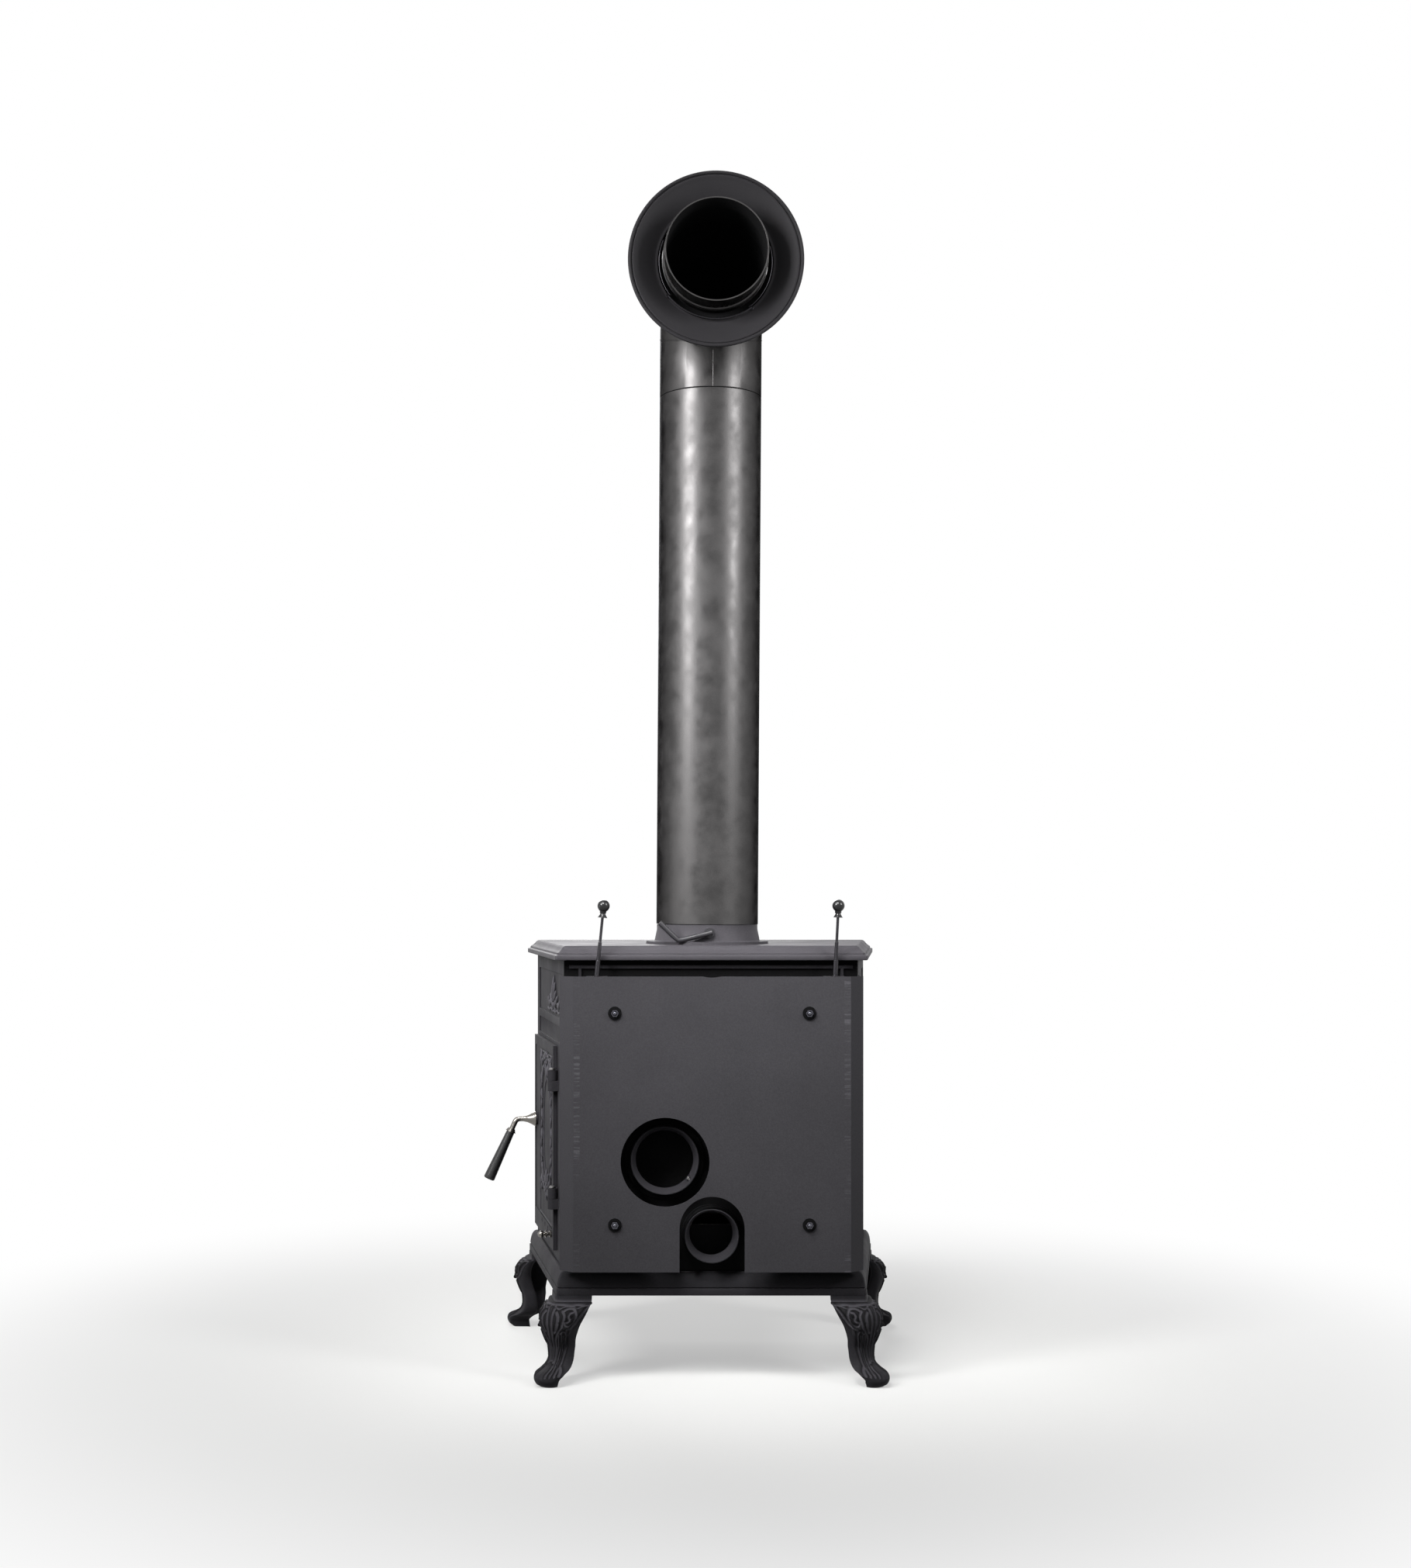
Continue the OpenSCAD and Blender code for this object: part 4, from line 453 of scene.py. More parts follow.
FINISHES = {
    "cast_iron": sand_cast_iron, "painted_sheet": powder_coated_sheet, "painted_pipe": sprayed_flue_steel,
    "steel": drawn_steel, "black_steel": blackened_steel, "nickel": plated_nickel, "grip": moulded_grip,
    "gloss_knob": moulded_phenolic, "glass": ceramic_glass, "firebrick": pressed_vermiculite,
    "rope_seal": braided_rope, "painted_shade_black": black_painted_shade_sheet, "rosette": matt_flue_steel, "black_and_painted_shadow": black_iron_and_painted_shadow,
    "rod": oiled_rod_steel, "plate": paler_iron_painted_light, "nut": passivated_nut, "handle_rod": sprayed_handle,
}
made_finishes = {}


def finish_of(slot):
    """The material of a slot, made when it is first asked for."""
    if slot not in made_finishes:
        made_finishes[slot] = FINISHES[slot]()
    return made_finishes[slot]


# Mesh helpers

def place(name, skin, body, slot, replaced=(), smooth_deg=32, finish=None, second=None):
    """Makes an object of a mesh, or of points and faces, gives it its finish, and lets it ride on its body.

    second is a finish and a test of a face's centre and normal: the faces that pass take that finish.
    """
    mesh = skin if isinstance(skin, bpy.types.Mesh) else mesh_of(name, *skin)
    piece = bpy.data.objects.new(name, mesh)
    bpy.context.scene.collection.objects.link(piece)
    mesh.materials.clear()
    mesh.materials.append(finish_of(finish or slot))
    mesh.polygons.foreach_set("use_smooth", [True] * len(mesh.polygons))
    mesh.polygons.foreach_set("material_index", [0] * len(mesh.polygons))
    if second:
        mesh.materials.append(finish_of(second[0]))
        for face in mesh.polygons:
            if second[1](face.center, face.normal):
                face.material_index = 1
    mesh.set_sharp_from_angle(angle=math.radians(smooth_deg))
    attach(piece, body)
    if replaced:
        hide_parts(*replaced)
    return piece


def ridges(height, reach):
    """How far each place of a height field, in millimetres, stands above the mean within a reach of steps."""
    mean = height
    for axis in (0, 1):
        wide = np.pad(mean, [(reach, reach) if a == axis else (0, 0) for a in (0, 1)], mode="edge")
        count = height.shape[axis]
        mean = sum(np.take(wide, range(k, k + count), axis) for k in range(2 * reach + 1)) / (2 * reach + 1)
    return height - mean


def carry_relief_painted_shade(mesh, lift, painted_highlight_cap):
    """Stores the height over its neighbours on the first points of a mesh, and 0 on the others; the paint turns it
    into painted highlight on ridges and painted shade in grooves.
    """
    values = np.zeros(len(mesh.vertices))
    values[:len(lift)] = np.clip(lift, -1.2, painted_highlight_cap)
    mesh.attributes.new("relief_painted_shade", "FLOAT", "POINT").data.foreach_set("value", values)
    return mesh


def mesh_of(name, points, faces):
    mesh = bpy.data.meshes.new(name)
    mesh.from_pydata([tuple(p) for p in points], [], [tuple(f) for f in faces])
    mesh.validate()
    mesh.update()
    return mesh


def softened(name, node, slot, edge=0.0005, steps=2, angle=28, smooth_deg=32, finish=None, second=None):
    """A dressed copy of a sharp-edged CAD node whose edges carry the small rounding of the real piece."""
    source = frame["nodes"][node]
    shape = bmesh.new()
    shape.from_mesh(source.data)
    bmesh.ops.remove_doubles(shape, verts=shape.verts, dist=1e-6)
    bmesh.ops.dissolve_limit(shape, angle_limit=math.radians(1.0), verts=shape.verts, edges=shape.edges)
    mesh = bpy.data.meshes.new(name)
    shape.to_mesh(mesh)
    shape.free()
    piece = place(name, mesh, source["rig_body"], slot, [node], smooth_deg, finish, second)
    if edge:
        bevel = piece.modifiers.new("edge", "BEVEL")
        bevel.width = edge
        bevel.segments = steps
        bevel.limit_method = "ANGLE"
        bevel.angle_limit = math.radians(angle)
        bevel.use_clamp_overlap = True
        bevel.harden_normals = True
    return piece


def angles(count):
    """Angles of equal steps round a circle."""
    return [2 * math.pi * i / count for i in range(count)]


def flipped(faces):
    return [tuple(reversed(face)) for face in faces]


def lofted(rings, end="capped"):
    """Points and faces of a skin over rings of equal count: capped, open, or joined from last to first."""
    rings = np.asarray(rings)
    count, around = rings.shape[:2]
    faces = []
    for k in range(count if end == "joined" else count - 1):
        low, high = k * around, (k + 1) % count * around
        for i in range(around):
            j = (i + 1) % around
            faces.append((low + i, low + j, high + j, high + i))
    if end == "capped":
        faces.append(tuple(reversed(range(around))))
        faces.append(tuple((count - 1) * around + i for i in range(around)))
    return rings.reshape(-1, 3), faces


def turned(profile, spot, around=96):
    """Points and faces of a closed profile of radius and depth, turned about an axis from front to rear."""
    turn = Matrix.Rotation(math.radians(90), 3, "X")
    rings = [[turn @ Vector((r * math.cos(a), r * math.sin(a), depth)) + spot for a in angles(around)]
             for r, depth in profile]
    return lofted(rings, "joined")


def outward(pts, faces):
    """The faces of a closed skin, turned so that they look outward."""
    at = np.array([tuple(p) for p in pts])
    volume = sum(np.dot(at[f[0]], np.cross(at[f[i]], at[f[i + 1]])) for f in faces for i in range(1, len(f) - 1))
    return faces if volume > 0 else flipped(faces)


def tube(path, radius, sides=12):
    """Points and faces of a round wire along a line of points, its ends rounded off."""
    line = [Vector(p) for p in path]
    ways = [(line[min(i + 1, len(line) - 1)] - line[max(i - 1, 0)]).normalized() for i in range(len(line))]
    side = ways[0].orthogonal().normalized()
    rings = []
    for i, (point, way) in enumerate(zip(line, ways)):
        side = (side - way * side.dot(way)).normalized()
        up = way.cross(side)
        ends = [(0.45, -0.5), (0.85, -0.2), (1, 0)] if i == 0 else [(1, 0)]
        ends = [(1, 0), (0.85, 0.2), (0.45, 0.5)] if i == len(line) - 1 else ends
        for share, along in ends:
            rings.append([point + way * along * radius + (side * math.cos(a) + up * math.sin(a)) * radius * share
                          for a in angles(sides)])
    return lofted(rings)


# Plan of the casting

def wall_slope():
    """How much the side walls close in per metre to the rear."""
    s = bpy.context.scene.stove_casting
    return (s.plate_front_w - s.plate_rear_w) / (2 * s.plate_depth)


def plan_corners(o):
    """Corners of the trapezoid plan, offset outward: rear right, rear left, front left, front right."""
    s = bpy.context.scene.stove_casting
    rear = s.plate_depth / 2 + o
    middle = (s.plate_rear_w + s.plate_front_w) / 4
    out = o * (1 / math.cos(math.atan(wall_slope())))
    rear_half, fore_half = middle - wall_slope() * rear + out, middle + wall_slope() * rear + out
    return [Vector((rear_half, rear)), Vector((-rear_half, rear)),
            Vector((-fore_half, -rear)), Vector((fore_half, -rear))]


def plan_ring(o, z, corner_r=0.0035, steps=7):
    """One rounded ring of the trapezoid plan at a height, offset outward."""
    side_a = math.atan(wall_slope())
    quarter = math.pi / 2
    turns = [(side_a, quarter), (quarter, 2 * quarter - side_a), (2 * quarter - side_a, 3 * quarter),
             (3 * quarter, 4 * quarter + side_a)]
    ring = []
    for centre, (a0, a1) in zip(plan_corners(o - corner_r), turns):
        for i in range(steps + 1):
            a = a0 + (a1 - a0) * i / steps
            ring.append((centre.x + corner_r * math.cos(a), centre.y + corner_r * math.sin(a), z))
    return ring


# Legs

# Rows of a leg from the foot up, as shares of leg height and wing:
# height, wing length, outward shift, wing thickness, swell
LEG_ROWS = np.array([
    [0.000, 0.42, 0.44, 0.400, 0.06], [0.030, 0.52, 0.54, 0.480, 0.06], [0.090, 0.62, 0.60, 0.520, 0.06],
    [0.140, 0.70, 0.55, 0.520, 0.06], [0.180, 0.68, 0.38, 0.460, 0.05], [0.230, 0.64, 0.24, 0.400, 0.05],
    [0.320, 0.62, 0.15, 0.340, 0.06], [0.420, 0.64, 0.14, 0.300, 0.08], [0.520, 0.70, 0.19, 0.270, 0.13],
    [0.610, 0.79, 0.23, 0.250, 0.17], [0.700, 0.90, 0.26, 0.240, 0.19], [0.780, 1.00, 0.25, 0.230, 0.18],
    [0.860, 1.05, 0.19, 0.220, 0.13], [0.915, 1.04, 0.09, 0.210, 0.06], [0.925, 1.00, 0.04, 0.210, 0.00],
    [1.000, 1.00, 0.02, 0.210, 0.00]])

# Beads of the relief on a leg's face, in millimetres from the outer corner and above the floor:
# path, half width, height
LEG_BEADS = [
    ([(14.9, 105), (18.0, 101), (18.6, 96.6), (15.6, 85.7), (9.0, 74.7), (5.2, 63.8), (4.4, 48), (3.4, 32)],
     1.5, 1.5),
    ([(4.0, 107), (3.0, 96), (2.6, 84), (2.2, 70), (1.6, 50), (1.2, 34)], 1.3, 1.1),
    ([(7.5, 103), (10.5, 97), (9.4, 86), (6.2, 76)], 1.8, 1.3),
    ([(16.5, 105.5), (20, 108), (24, 108.8), (29, 108), (33, 104.5), (35.2, 98.2), (32.5, 89.6), (26.4, 86),
      (21, 87.2), (18.8, 91)], 1.5, 1.6),
    ([(30, 104), (26, 102.6), (24.6, 98), (26.6, 95), (24, 91.6), (21.5, 91)], 1.4, 1.4),
    ([(13.3, 75.2), (15.6, 78.2), (19.7, 77.8), (21, 73.6)], 1.3, 1.5),
    ([(10.3, 72.5), (7.6, 56), (5.6, 40.3), (5.2, 29)], 0.95, 1.0),
    ([(14.0, 72.5), (10.9, 56), (8.2, 40.3), (7.8, 29)], 0.95, 1.0),
    ([(17.6, 72), (14.0, 56), (11, 40.3), (10.4, 29)], 0.95, 1.0),
    ([(22.5, 80), (20.4, 66), (16.6, 50), (13.6, 38), (13.4, 29)], 1.6, 1.3),
    ([(22.5, 80), (29, 83.5), (36, 88.5), (42, 96.6), (48.5, 109)], 1.6, 1.3),
    ([(5.2, 27), (8, 15.5)], 1.2, 1.1), ([(8.4, 27), (14, 15.8)], 1.2, 1.1),
    ([(11.4, 27), (20.5, 16)], 1.2, 1.1), ([(14.5, 27), (27, 17)], 1.5, 1.2),
    ([(3, 110.2), (9, 107.4), (14.5, 109.6), (20, 111), (27, 110.8), (33, 108.4), (40, 110.4), (49, 112.4)],
     0.9, 0.9),
]
# The relief is drawn for a leg of 124 mm; its beads are cast this much broader and taller, its cuts deeper
LEG_DRAWN_H = 124
BEAD_SHARE, CUT_SHARE = 1.35, 1.3
# Sunk field between the beads, and the groove under the leg's square head: depth, height above the floor
FIELD_DEPTH, FIELD_FOOT, FIELD_TOP = 1.6, 14, 112
GROOVE_DEPTH, GROOVE_Z, GROOVE_HALF = 1.6, 114.2, 1.2
# Cuts of the relief: place, radius, depth
LEG_CUTS = [((19, 81.7), 3.0, 1.8), ((28.5, 99.5), 2.6, 0.9), ((22.5, 97), 1.6, 0.8), ((12.5, 90), 2.2, 0.6)]


def curve_point(a, b, c, d, t):
    """The place at share t between b and c on a smooth curve through four points."""
    return 0.5 * (2 * b + (c - a) * t + (2 * a - 5 * b + 4 * c - d) * t * t + (3 * b - a - 3 * c + d) * t ** 3)


def through_points(path, step):
    """A smooth line through points, sampled about every step."""
    pts = [np.array(p, float) for p in path]
    pts = [2 * pts[0] - pts[1]] + pts + [2 * pts[-1] - pts[-2]]
    line = []
    for a, b, c, d in zip(pts, pts[1:], pts[2:], pts[3:]):
        count = max(2, int(np.linalg.norm(c - b) / step))
        line += [curve_point(a, b, c, d, i / count) for i in range(count)]
    line.append(pts[-2])
    return np.array(line)


def bead_height(where, beads):
    """Height of rounded beads along their paths, at places given in the same millimetres."""
    height = np.zeros(len(where))
    for path, half, tall in beads:
        line = through_points(path, 0.5 * half)
        low, high = line.min(0) - half, line.max(0) + half
        near = np.where(np.all((where > low) & (where < high), axis=1))[0]
        if len(near) == 0:
            continue
        gap = np.full(len(near), np.inf)
        for start in range(0, len(line), 64):
            part = line[start:start + 64]
            gap = np.minimum(gap, np.min(np.linalg.norm(where[near][:, None] - part[None], axis=2), axis=1))
        rise = tall * np.sqrt(np.clip(1 - (gap / half) ** 2, 0, 1))
        height[near] = np.maximum(height[near], rise)
    return height


def cut_depth(where, cuts):
    """Depth of small dished cuts."""
    depth = np.zeros(len(where))
    for centre, radius, deep in cuts:
        gap = np.linalg.norm(where - np.array(centre), axis=1)
        depth = np.maximum(depth, deep * np.clip(1 - (gap / radius) ** 2, 0, 1))
    return depth


def cubic_rows(rows, heights):
    """Leg rows at any height, by a smooth curve through each column."""
    x, y = rows[:, 0], rows[:, 1:]
    slopes = np.zeros_like(y)
    slopes[1:-1] = (y[2:] - y[:-2]) / (x[2:] - x[:-2])[:, None]
    steps = np.diff(y, axis=0) / np.diff(x)[:, None]
    for k in range(len(x)):
        left, right = steps[max(k - 1, 0)], steps[min(k, len(steps) - 1)]
        flat = left * right <= 0
        limit = 3 * np.minimum(abs(left), abs(right))
        slopes[k] = np.where(flat, 0, np.clip(slopes[k], -limit, limit))
    out = []
    for h in heights:
        k = min(max(int(np.searchsorted(x, h)) - 1, 0), len(x) - 2)
        w = x[k + 1] - x[k]
        t = (h - x[k]) / w
        out.append((2 * t ** 3 - 3 * t ** 2 + 1) * y[k] + (t ** 3 - 2 * t ** 2 + t) * w * slopes[k]
                   + (3 * t ** 2 - 2 * t ** 3) * y[k + 1] + (t ** 3 - t ** 2) * w * slopes[k + 1])
    return np.array(out)


def leg_section(w, t, b):
    """Closed outline of a leg's angle section: outer faces meet at point 4."""
    mid = (t + w) / 2
    return np.array([
        (w, 0.1 * t), (0.72 * w, -0.75 * b), (0.42 * w, -b), (0.2 * w, -0.55 * b), (0.04 * w, 0.04 * w),
        (-0.55 * b, 0.2 * w), (-b, 0.42 * w), (-0.75 * b, 0.72 * w), (0.1 * t, w),
        (t, 0.98 * w), (1.05 * t, mid), (1.15 * t, 1.15 * t), (mid, 1.05 * t), (0.98 * w, t)])


def leg_mesh(name, side, fore):
    """One leg with its relief: side +1 is the side door's side, fore is at the front."""
    s = bpy.context.scene.stove_casting
    slope = wall_slope()
    face_steps, edge_steps = 17, 5
    # Heights of the rings, close together where the head steps back
    shares = np.concatenate([np.linspace(0, 0.915, 184), np.linspace(0.9155, 0.925, 5), np.linspace(0.93, 1, 11)])
    rows = cubic_rows(LEG_ROWS, shares)
    raw = []
    for w, shift, t, b in rows * s.leg_wing:
        pts = leg_section(w, t, b)
        line = []
        for i in range(14):
            a, p, q, d = pts[i - 1], pts[i], pts[(i + 1) % 14], pts[(i + 2) % 14]
            if i in (3, 13):
                d = q + (q - p) * 0.4
            if i in (4, 0):
                a = p + (p - q) * 0.4
            steps = face_steps if i < 8 else edge_steps
            line += [curve_point(a, p, q, d, j / steps) for j in range(steps)]
        raw.append(np.array(line))
    raw = np.array(raw)
    shift = (rows[:, 1] * s.leg_wing)[:, None, None]
    height = (shares * s.leg_h)[:, None] * np.ones(raw.shape[1])
    corner = plan_corners(-s.base_step)[3 if fore else 0]
    down = np.array([-slope if fore else slope, 1 if fore else -1]) / math.hypot(slope, 1)
    flat = raw - shift
    x = corner.x - flat[..., 0] + flat[..., 1] * down[0]
    y = corner.y + flat[..., 1] * down[1]
    points = np.stack([x, y, height], axis=2)
    around = np.roll(points, -1, axis=1) - np.roll(points, 1, axis=1)
    upward = np.gradient(points, axis=0)
    normal = np.cross(around, upward)
    normal /= np.linalg.norm(normal, axis=2)[..., None] + 1e-12
    if fore:
        normal = -normal
    outer = 8 * face_steps
    inward = np.where(np.arange(outer)[None] < 4 * face_steps, raw[:, :outer, 0], raw[:, :outer, 1])
    inward = (inward - 0.04 * (rows[:, 0] * s.leg_wing)[:, None]) / MM
    drawn = LEG_DRAWN_H * MM / s.leg_h
    where = np.stack([inward, height[:, :outer] / MM * drawn], axis=2).reshape(-1, 2)
    # The field follows the bead that bounds it: 24 mm wide at 72 mm, and wider above
    field_w = np.clip(24 + 0.62 * (where[:, 1] - 72), 14, 60)
    bed = np.clip((field_w - where[:, 0]) / 2.5, 0, 1) * np.clip((FIELD_TOP - where[:, 1]) / 2, 0, 1)
    bed *= np.clip((where[:, 1] - FIELD_FOOT) / 6, 0, 1) * FIELD_DEPTH
    broad = [(path, BEAD_SHARE * half, tall) for path, half, tall in LEG_BEADS]
    rise = BEAD_SHARE * bead_height(where, broad) - bed - CUT_SHARE * cut_depth(where, LEG_CUTS)
    groove = np.exp(-((where[:, 1] - GROOVE_Z) / GROOVE_HALF) ** 2) * GROOVE_DEPTH
    rise = (rise - groove) * s.relief * MM
    lift = np.zeros(points.shape[:2])
    lift[:, :outer] = rise.reshape(lift[:, :outer].shape)
    # The relief stays inside the plain leg's reach
    reach_x, reach_y = min(points[..., 0].max(), s.leg_reach), abs(points[..., 1]).max()
    points = points + normal * lift[..., None]
    points[..., 0] = np.minimum(points[..., 0], reach_x)
    points[..., 1] = np.clip(points[..., 1], -reach_y, reach_y)
    points[..., 2] = np.clip(points[..., 2], 0, s.leg_h)
    points[..., 0] *= side
    pts, faces = lofted(points)
    if (side < 0) != fore:
        faces = flipped(faces)
    # The height over the neighbours goes to the paint as painted highlight on ridges and painted shade in grooves
    return carry_relief_painted_shade(mesh_of(name, pts, faces), 1.1 * ridges(lift / MM, 5).ravel(), 0.5)


class STOVE_OT_legs(bpy.types.Operator):
    """Four cabriole legs with flutes, scrolls and petals cast on their outer faces"""
    bl_idname = "stove.legs"
    bl_label = "Legs"

    def execute(self, context):
        for name, side, fore in (("leg_rear_right", 1, False), ("leg_rear_left", -1, False),
                                 ("leg_front_right", 1, True), ("leg_front_left", -1, True)):
            place("cabriole_" + name, leg_mesh(name, side, fore), "casing", "cast_iron", [name], 50)
        softened("legs_tie_rods", "tie_rods", "steel", 0)
        softened("legs_nuts", "leg_nuts", "black_steel", 0.0004)
        return {"FINISHED"}


# Casing

class STOVE_OT_casing(bpy.types.Operator):
    """Base with its ogee, top plate with its stepped edge, and the walls"""
    bl_idname = "stove.casing"
    bl_label = "Casing"

    @staticmethod
    def painted_shadow_behind_shield(centre, normal):
        """Whether a face of the rear wall lies below the shield's shade line, behind the heat shield or in a bore,
        and so takes near-black iron as painted shadow.
        """
        return centre.z < bpy.context.scene.stove_rear.shade_z

    @staticmethod
    def drilled(mesh, middle, radius, low, high, around=72):
        """Closes an open band with a bottom and a top face that a round hole passes through."""
        shape = bmesh.new()
        shape.from_mesh(mesh)
        rims = []
        for z in (low, high):
            outer = [e for e in shape.edges if e.is_boundary and abs(e.verts[0].co.z - z) < 1e-6]
            ring = [shape.verts.new((middle[0] + radius * math.cos(a), middle[1] + radius * math.sin(a), z))
                    for a in angles(around)]
            inner = [shape.edges.new((ring[i], ring[(i + 1) % around])) for i in range(around)]
            bmesh.ops.triangle_fill(shape, edges=outer + inner, use_beauty=True)
            rims.append(ring)
        for i in range(around):
            j = (i + 1) % around
            shape.faces.new((rims[0][i], rims[0][j], rims[1][j], rims[1][i]))
        bmesh.ops.recalc_face_normals(shape, faces=shape.faces)
        shape.to_mesh(mesh)
        shape.free()
        return mesh

    def execute(self, context):
        s = context.scene.stove_casting
        z0, z1 = s.leg_h, s.leg_h + s.base_h
        z_band = z0 + s.base_band
        # Height and offset of the base's outer face: band with rounded edges, then a quarter-round
        profile = [(z0, -0.004), (z0 + 0.0002, -0.0028), (z0 + 0.0012, -s.base_step),
                   (z_band - 0.0012, -s.base_step), (z_band - 0.0002, -0.0028), (z_band, -0.0036),
                   (z_band + 0.0002, -0.0046)]
        for i in range(1, 19):
            a = math.radians(90 * i / 18)
            profile.append((z_band + (s.base_h - s.base_band) * math.sin(a), -0.013 + 0.0095 * math.cos(a)))
        inner = [plan_ring(-s.base_inside, z) for z in (z1 - 0.008, z0)]
        skin = lofted(inner + [plan_ring(o, z) for z, o in profile])
        place("base_ogee_casting", skin, "casing", "cast_iron", ["base_casting"])

        z_plate = z1 + s.casing_h
        # Height and offset of the plate's edge: square lip, groove, slope and a small round at the top
        edge = [(z_plate, -0.0012), (z_plate + 0.0003, -0.0004), (z_plate + 0.0012, 0), (z_plate + 0.0058, 0),
                (z_plate + 0.0066, -0.0003), (z_plate + 0.007, -0.0012), (z_plate + 0.0074, -0.003),
                (z_plate + 0.0082, -0.0038), (z_plate + 0.0098, -0.0038), (z_plate + 0.0108, -0.0045)]
        for i in range(1, 13):
            t = i / 12
            edge.append((z_plate + 0.0108 + 0.0072 * t - 0.0008 * math.sin(math.pi * t), -0.0045 - 0.0077 * t))
        top = z_plate + s.plate_t
        edge += [(top - 0.0012, -0.0137), (top - 0.0004, -0.0148), (top, -0.0165)]
        band = mesh_of("top_plate", *lofted([plan_ring(o, z) for z, o in edge], "open"))
        flue = context.scene.stove_flue
        mesh = self.drilled(band, (0, flue.flue_y), flue.flue_hole_r, z_plate, top)
        # The top plate takes the paler iron as painted light from above
        place("top_plate_casting", mesh, "casing", "cast_iron", ["top_plate"], 25, "plate")

        softened("walls_left", "left_side_panel", "cast_iron", s.edge)
        softened("walls_right", "right_side_frame", "cast_iron", s.edge)
        # Below the shield's shade line the rear wall takes near-black iron as painted shadow
        softened("walls_rear", "rear_panel", "cast_iron", s.edge, second=("black_and_painted_shadow", self.painted_shadow_behind_shield))
        softened("walls_front", "front_frame", "cast_iron", s.edge)
        return {"FINISHED"}


# Relief of doors and walls

def leaf_height(where, leaves):
    """Height of pointed leaves with a midrib: middle, heading in degrees, half length, half width, height."""
    height = np.zeros(len(where))
    for (y, z), heading, long, wide, tall in leaves:
        a = math.radians(heading)
        off = where - np.array([y, z])
        near = np.where(np.abs(off).max(axis=1) < long)[0]
        along = (off[near, 0] * math.cos(a) + off[near, 1] * math.sin(a)) / long
        across = (off[near, 1] * math.cos(a) - off[near, 0] * math.sin(a)) / wide
        body = np.clip(1 - along ** 2, 0, 1)
        rise = tall * np.sqrt(np.clip(1 - (across / (body ** 0.8 + 1e-6)) ** 2, 0, 1)) * body ** 0.4
        rise -= 0.3 * tall * np.exp(-(across / 0.16) ** 2) * body
        height[near] = np.maximum(height[near], np.clip(rise, 0, None))
    return height


def knob_height(where, knobs):
    """Height of round buds: middle, radius, height."""
    height = np.zeros(len(where))
    for centre, radius, tall in knobs:
        gap = np.linalg.norm(where - np.array(centre), axis=1) / radius
        height = np.maximum(height, tall * np.sqrt(np.clip(1 - gap ** 2, 0, 1)))
    return height


def garland(path, step, long, wide, tall):
    """Leaves set by turns on both sides of a hanging line."""
    line = through_points(path, step)
    leaves = []
    for i in range(1, len(line) - 1):
        way = math.degrees(math.atan2(*(line[i + 1] - line[i - 1])[::-1]))
        side = 1 if i % 2 else -1
        a = math.radians(way + side * 90)
        middle = line[i] + np.array([math.cos(a), math.sin(a)]) * wide * 0.62
        leaves.append((tuple(middle), way + side * 24, long, wide, tall * (1.0 if i % 2 else 0.86)))
    return leaves


def flower(centre, petals, long, wide, tall, start=90):
    """A ring of petals round a middle."""
    leaves = []
    for i in range(petals):
        heading = start + 360 * i / petals
        a = math.radians(heading)
        leaves.append(((centre[0] + 0.95 * long * math.cos(a), centre[1] + 0.95 * long * math.sin(a)),
                       heading, long, wide, tall))
    return leaves


def both(middle, leaves):
    """Leaves and their mirror image about an upright line."""
    return leaves + [((2 * middle - y, z), 180 - heading, long, wide, tall)
                     for (y, z), heading, long, wide, tall in leaves]


def mirrored(middle, path):
    return [(2 * middle - y, z) for y, z in path]


# Ornament of the door, in millimetres along the wall and above the floor
DOOR_MID = 8.0
DOOR_SPRAY = [((-12, 447), 172, 12, 6.0, 3.6), ((-31, 443), 190, 12, 6.0, 3.4), ((-50, 436), 205, 13, 6.0, 3.8),
              ((-20, 434), 215, 10, 5.0, 3.0), ((-40, 424), 235, 11, 5.0, 3.2), ((-58, 448), 150, 10, 5.0, 3.5),
              ((-70, 441), 120, 9, 4.2, 3.0), ((-6, 428), 250, 11, 5.4, 3.2)]
DOOR_STEM = [(-56, 424), (-60, 400), (-56, 372), (-55, 340), (-59, 312), (-55, 284), (-42, 268)]
DOOR_OVAL = [(8, 417), (-20, 402), (-34, 368), (-36, 330), (-32, 296), (-18, 276), (8, 268)]
DOOR_TURN_Z = 346.5  # the lower half mirrors the upper one about this height
DOOR_FRAME = [(-88, 203), (-88, 452), (75.5, 452), (75.5, 203), (-88, 203)]
FRIEZE_MID = 44.0
FRIEZE_STEM = [(44, 519), (24, 517.5), (4, 521), (-14, 518), (-32, 520)]
FRIEZE_FAN = [((44, 552), 90, 20, 6.6, 4.6), ((35, 548), 114, 16, 5.6, 4.2), ((27, 541), 138, 14, 5.4, 3.9),
              ((22, 531), 162, 14, 5.0, 3.6), ((7, 536), 150, 13, 5.0, 3.6), ((-10, 529), 185, 14, 4.8, 3.2),
              ((-26, 533), 160, 11, 4.4, 3.0), ((30, 522), 190, 12, 4.2, 3.0)]


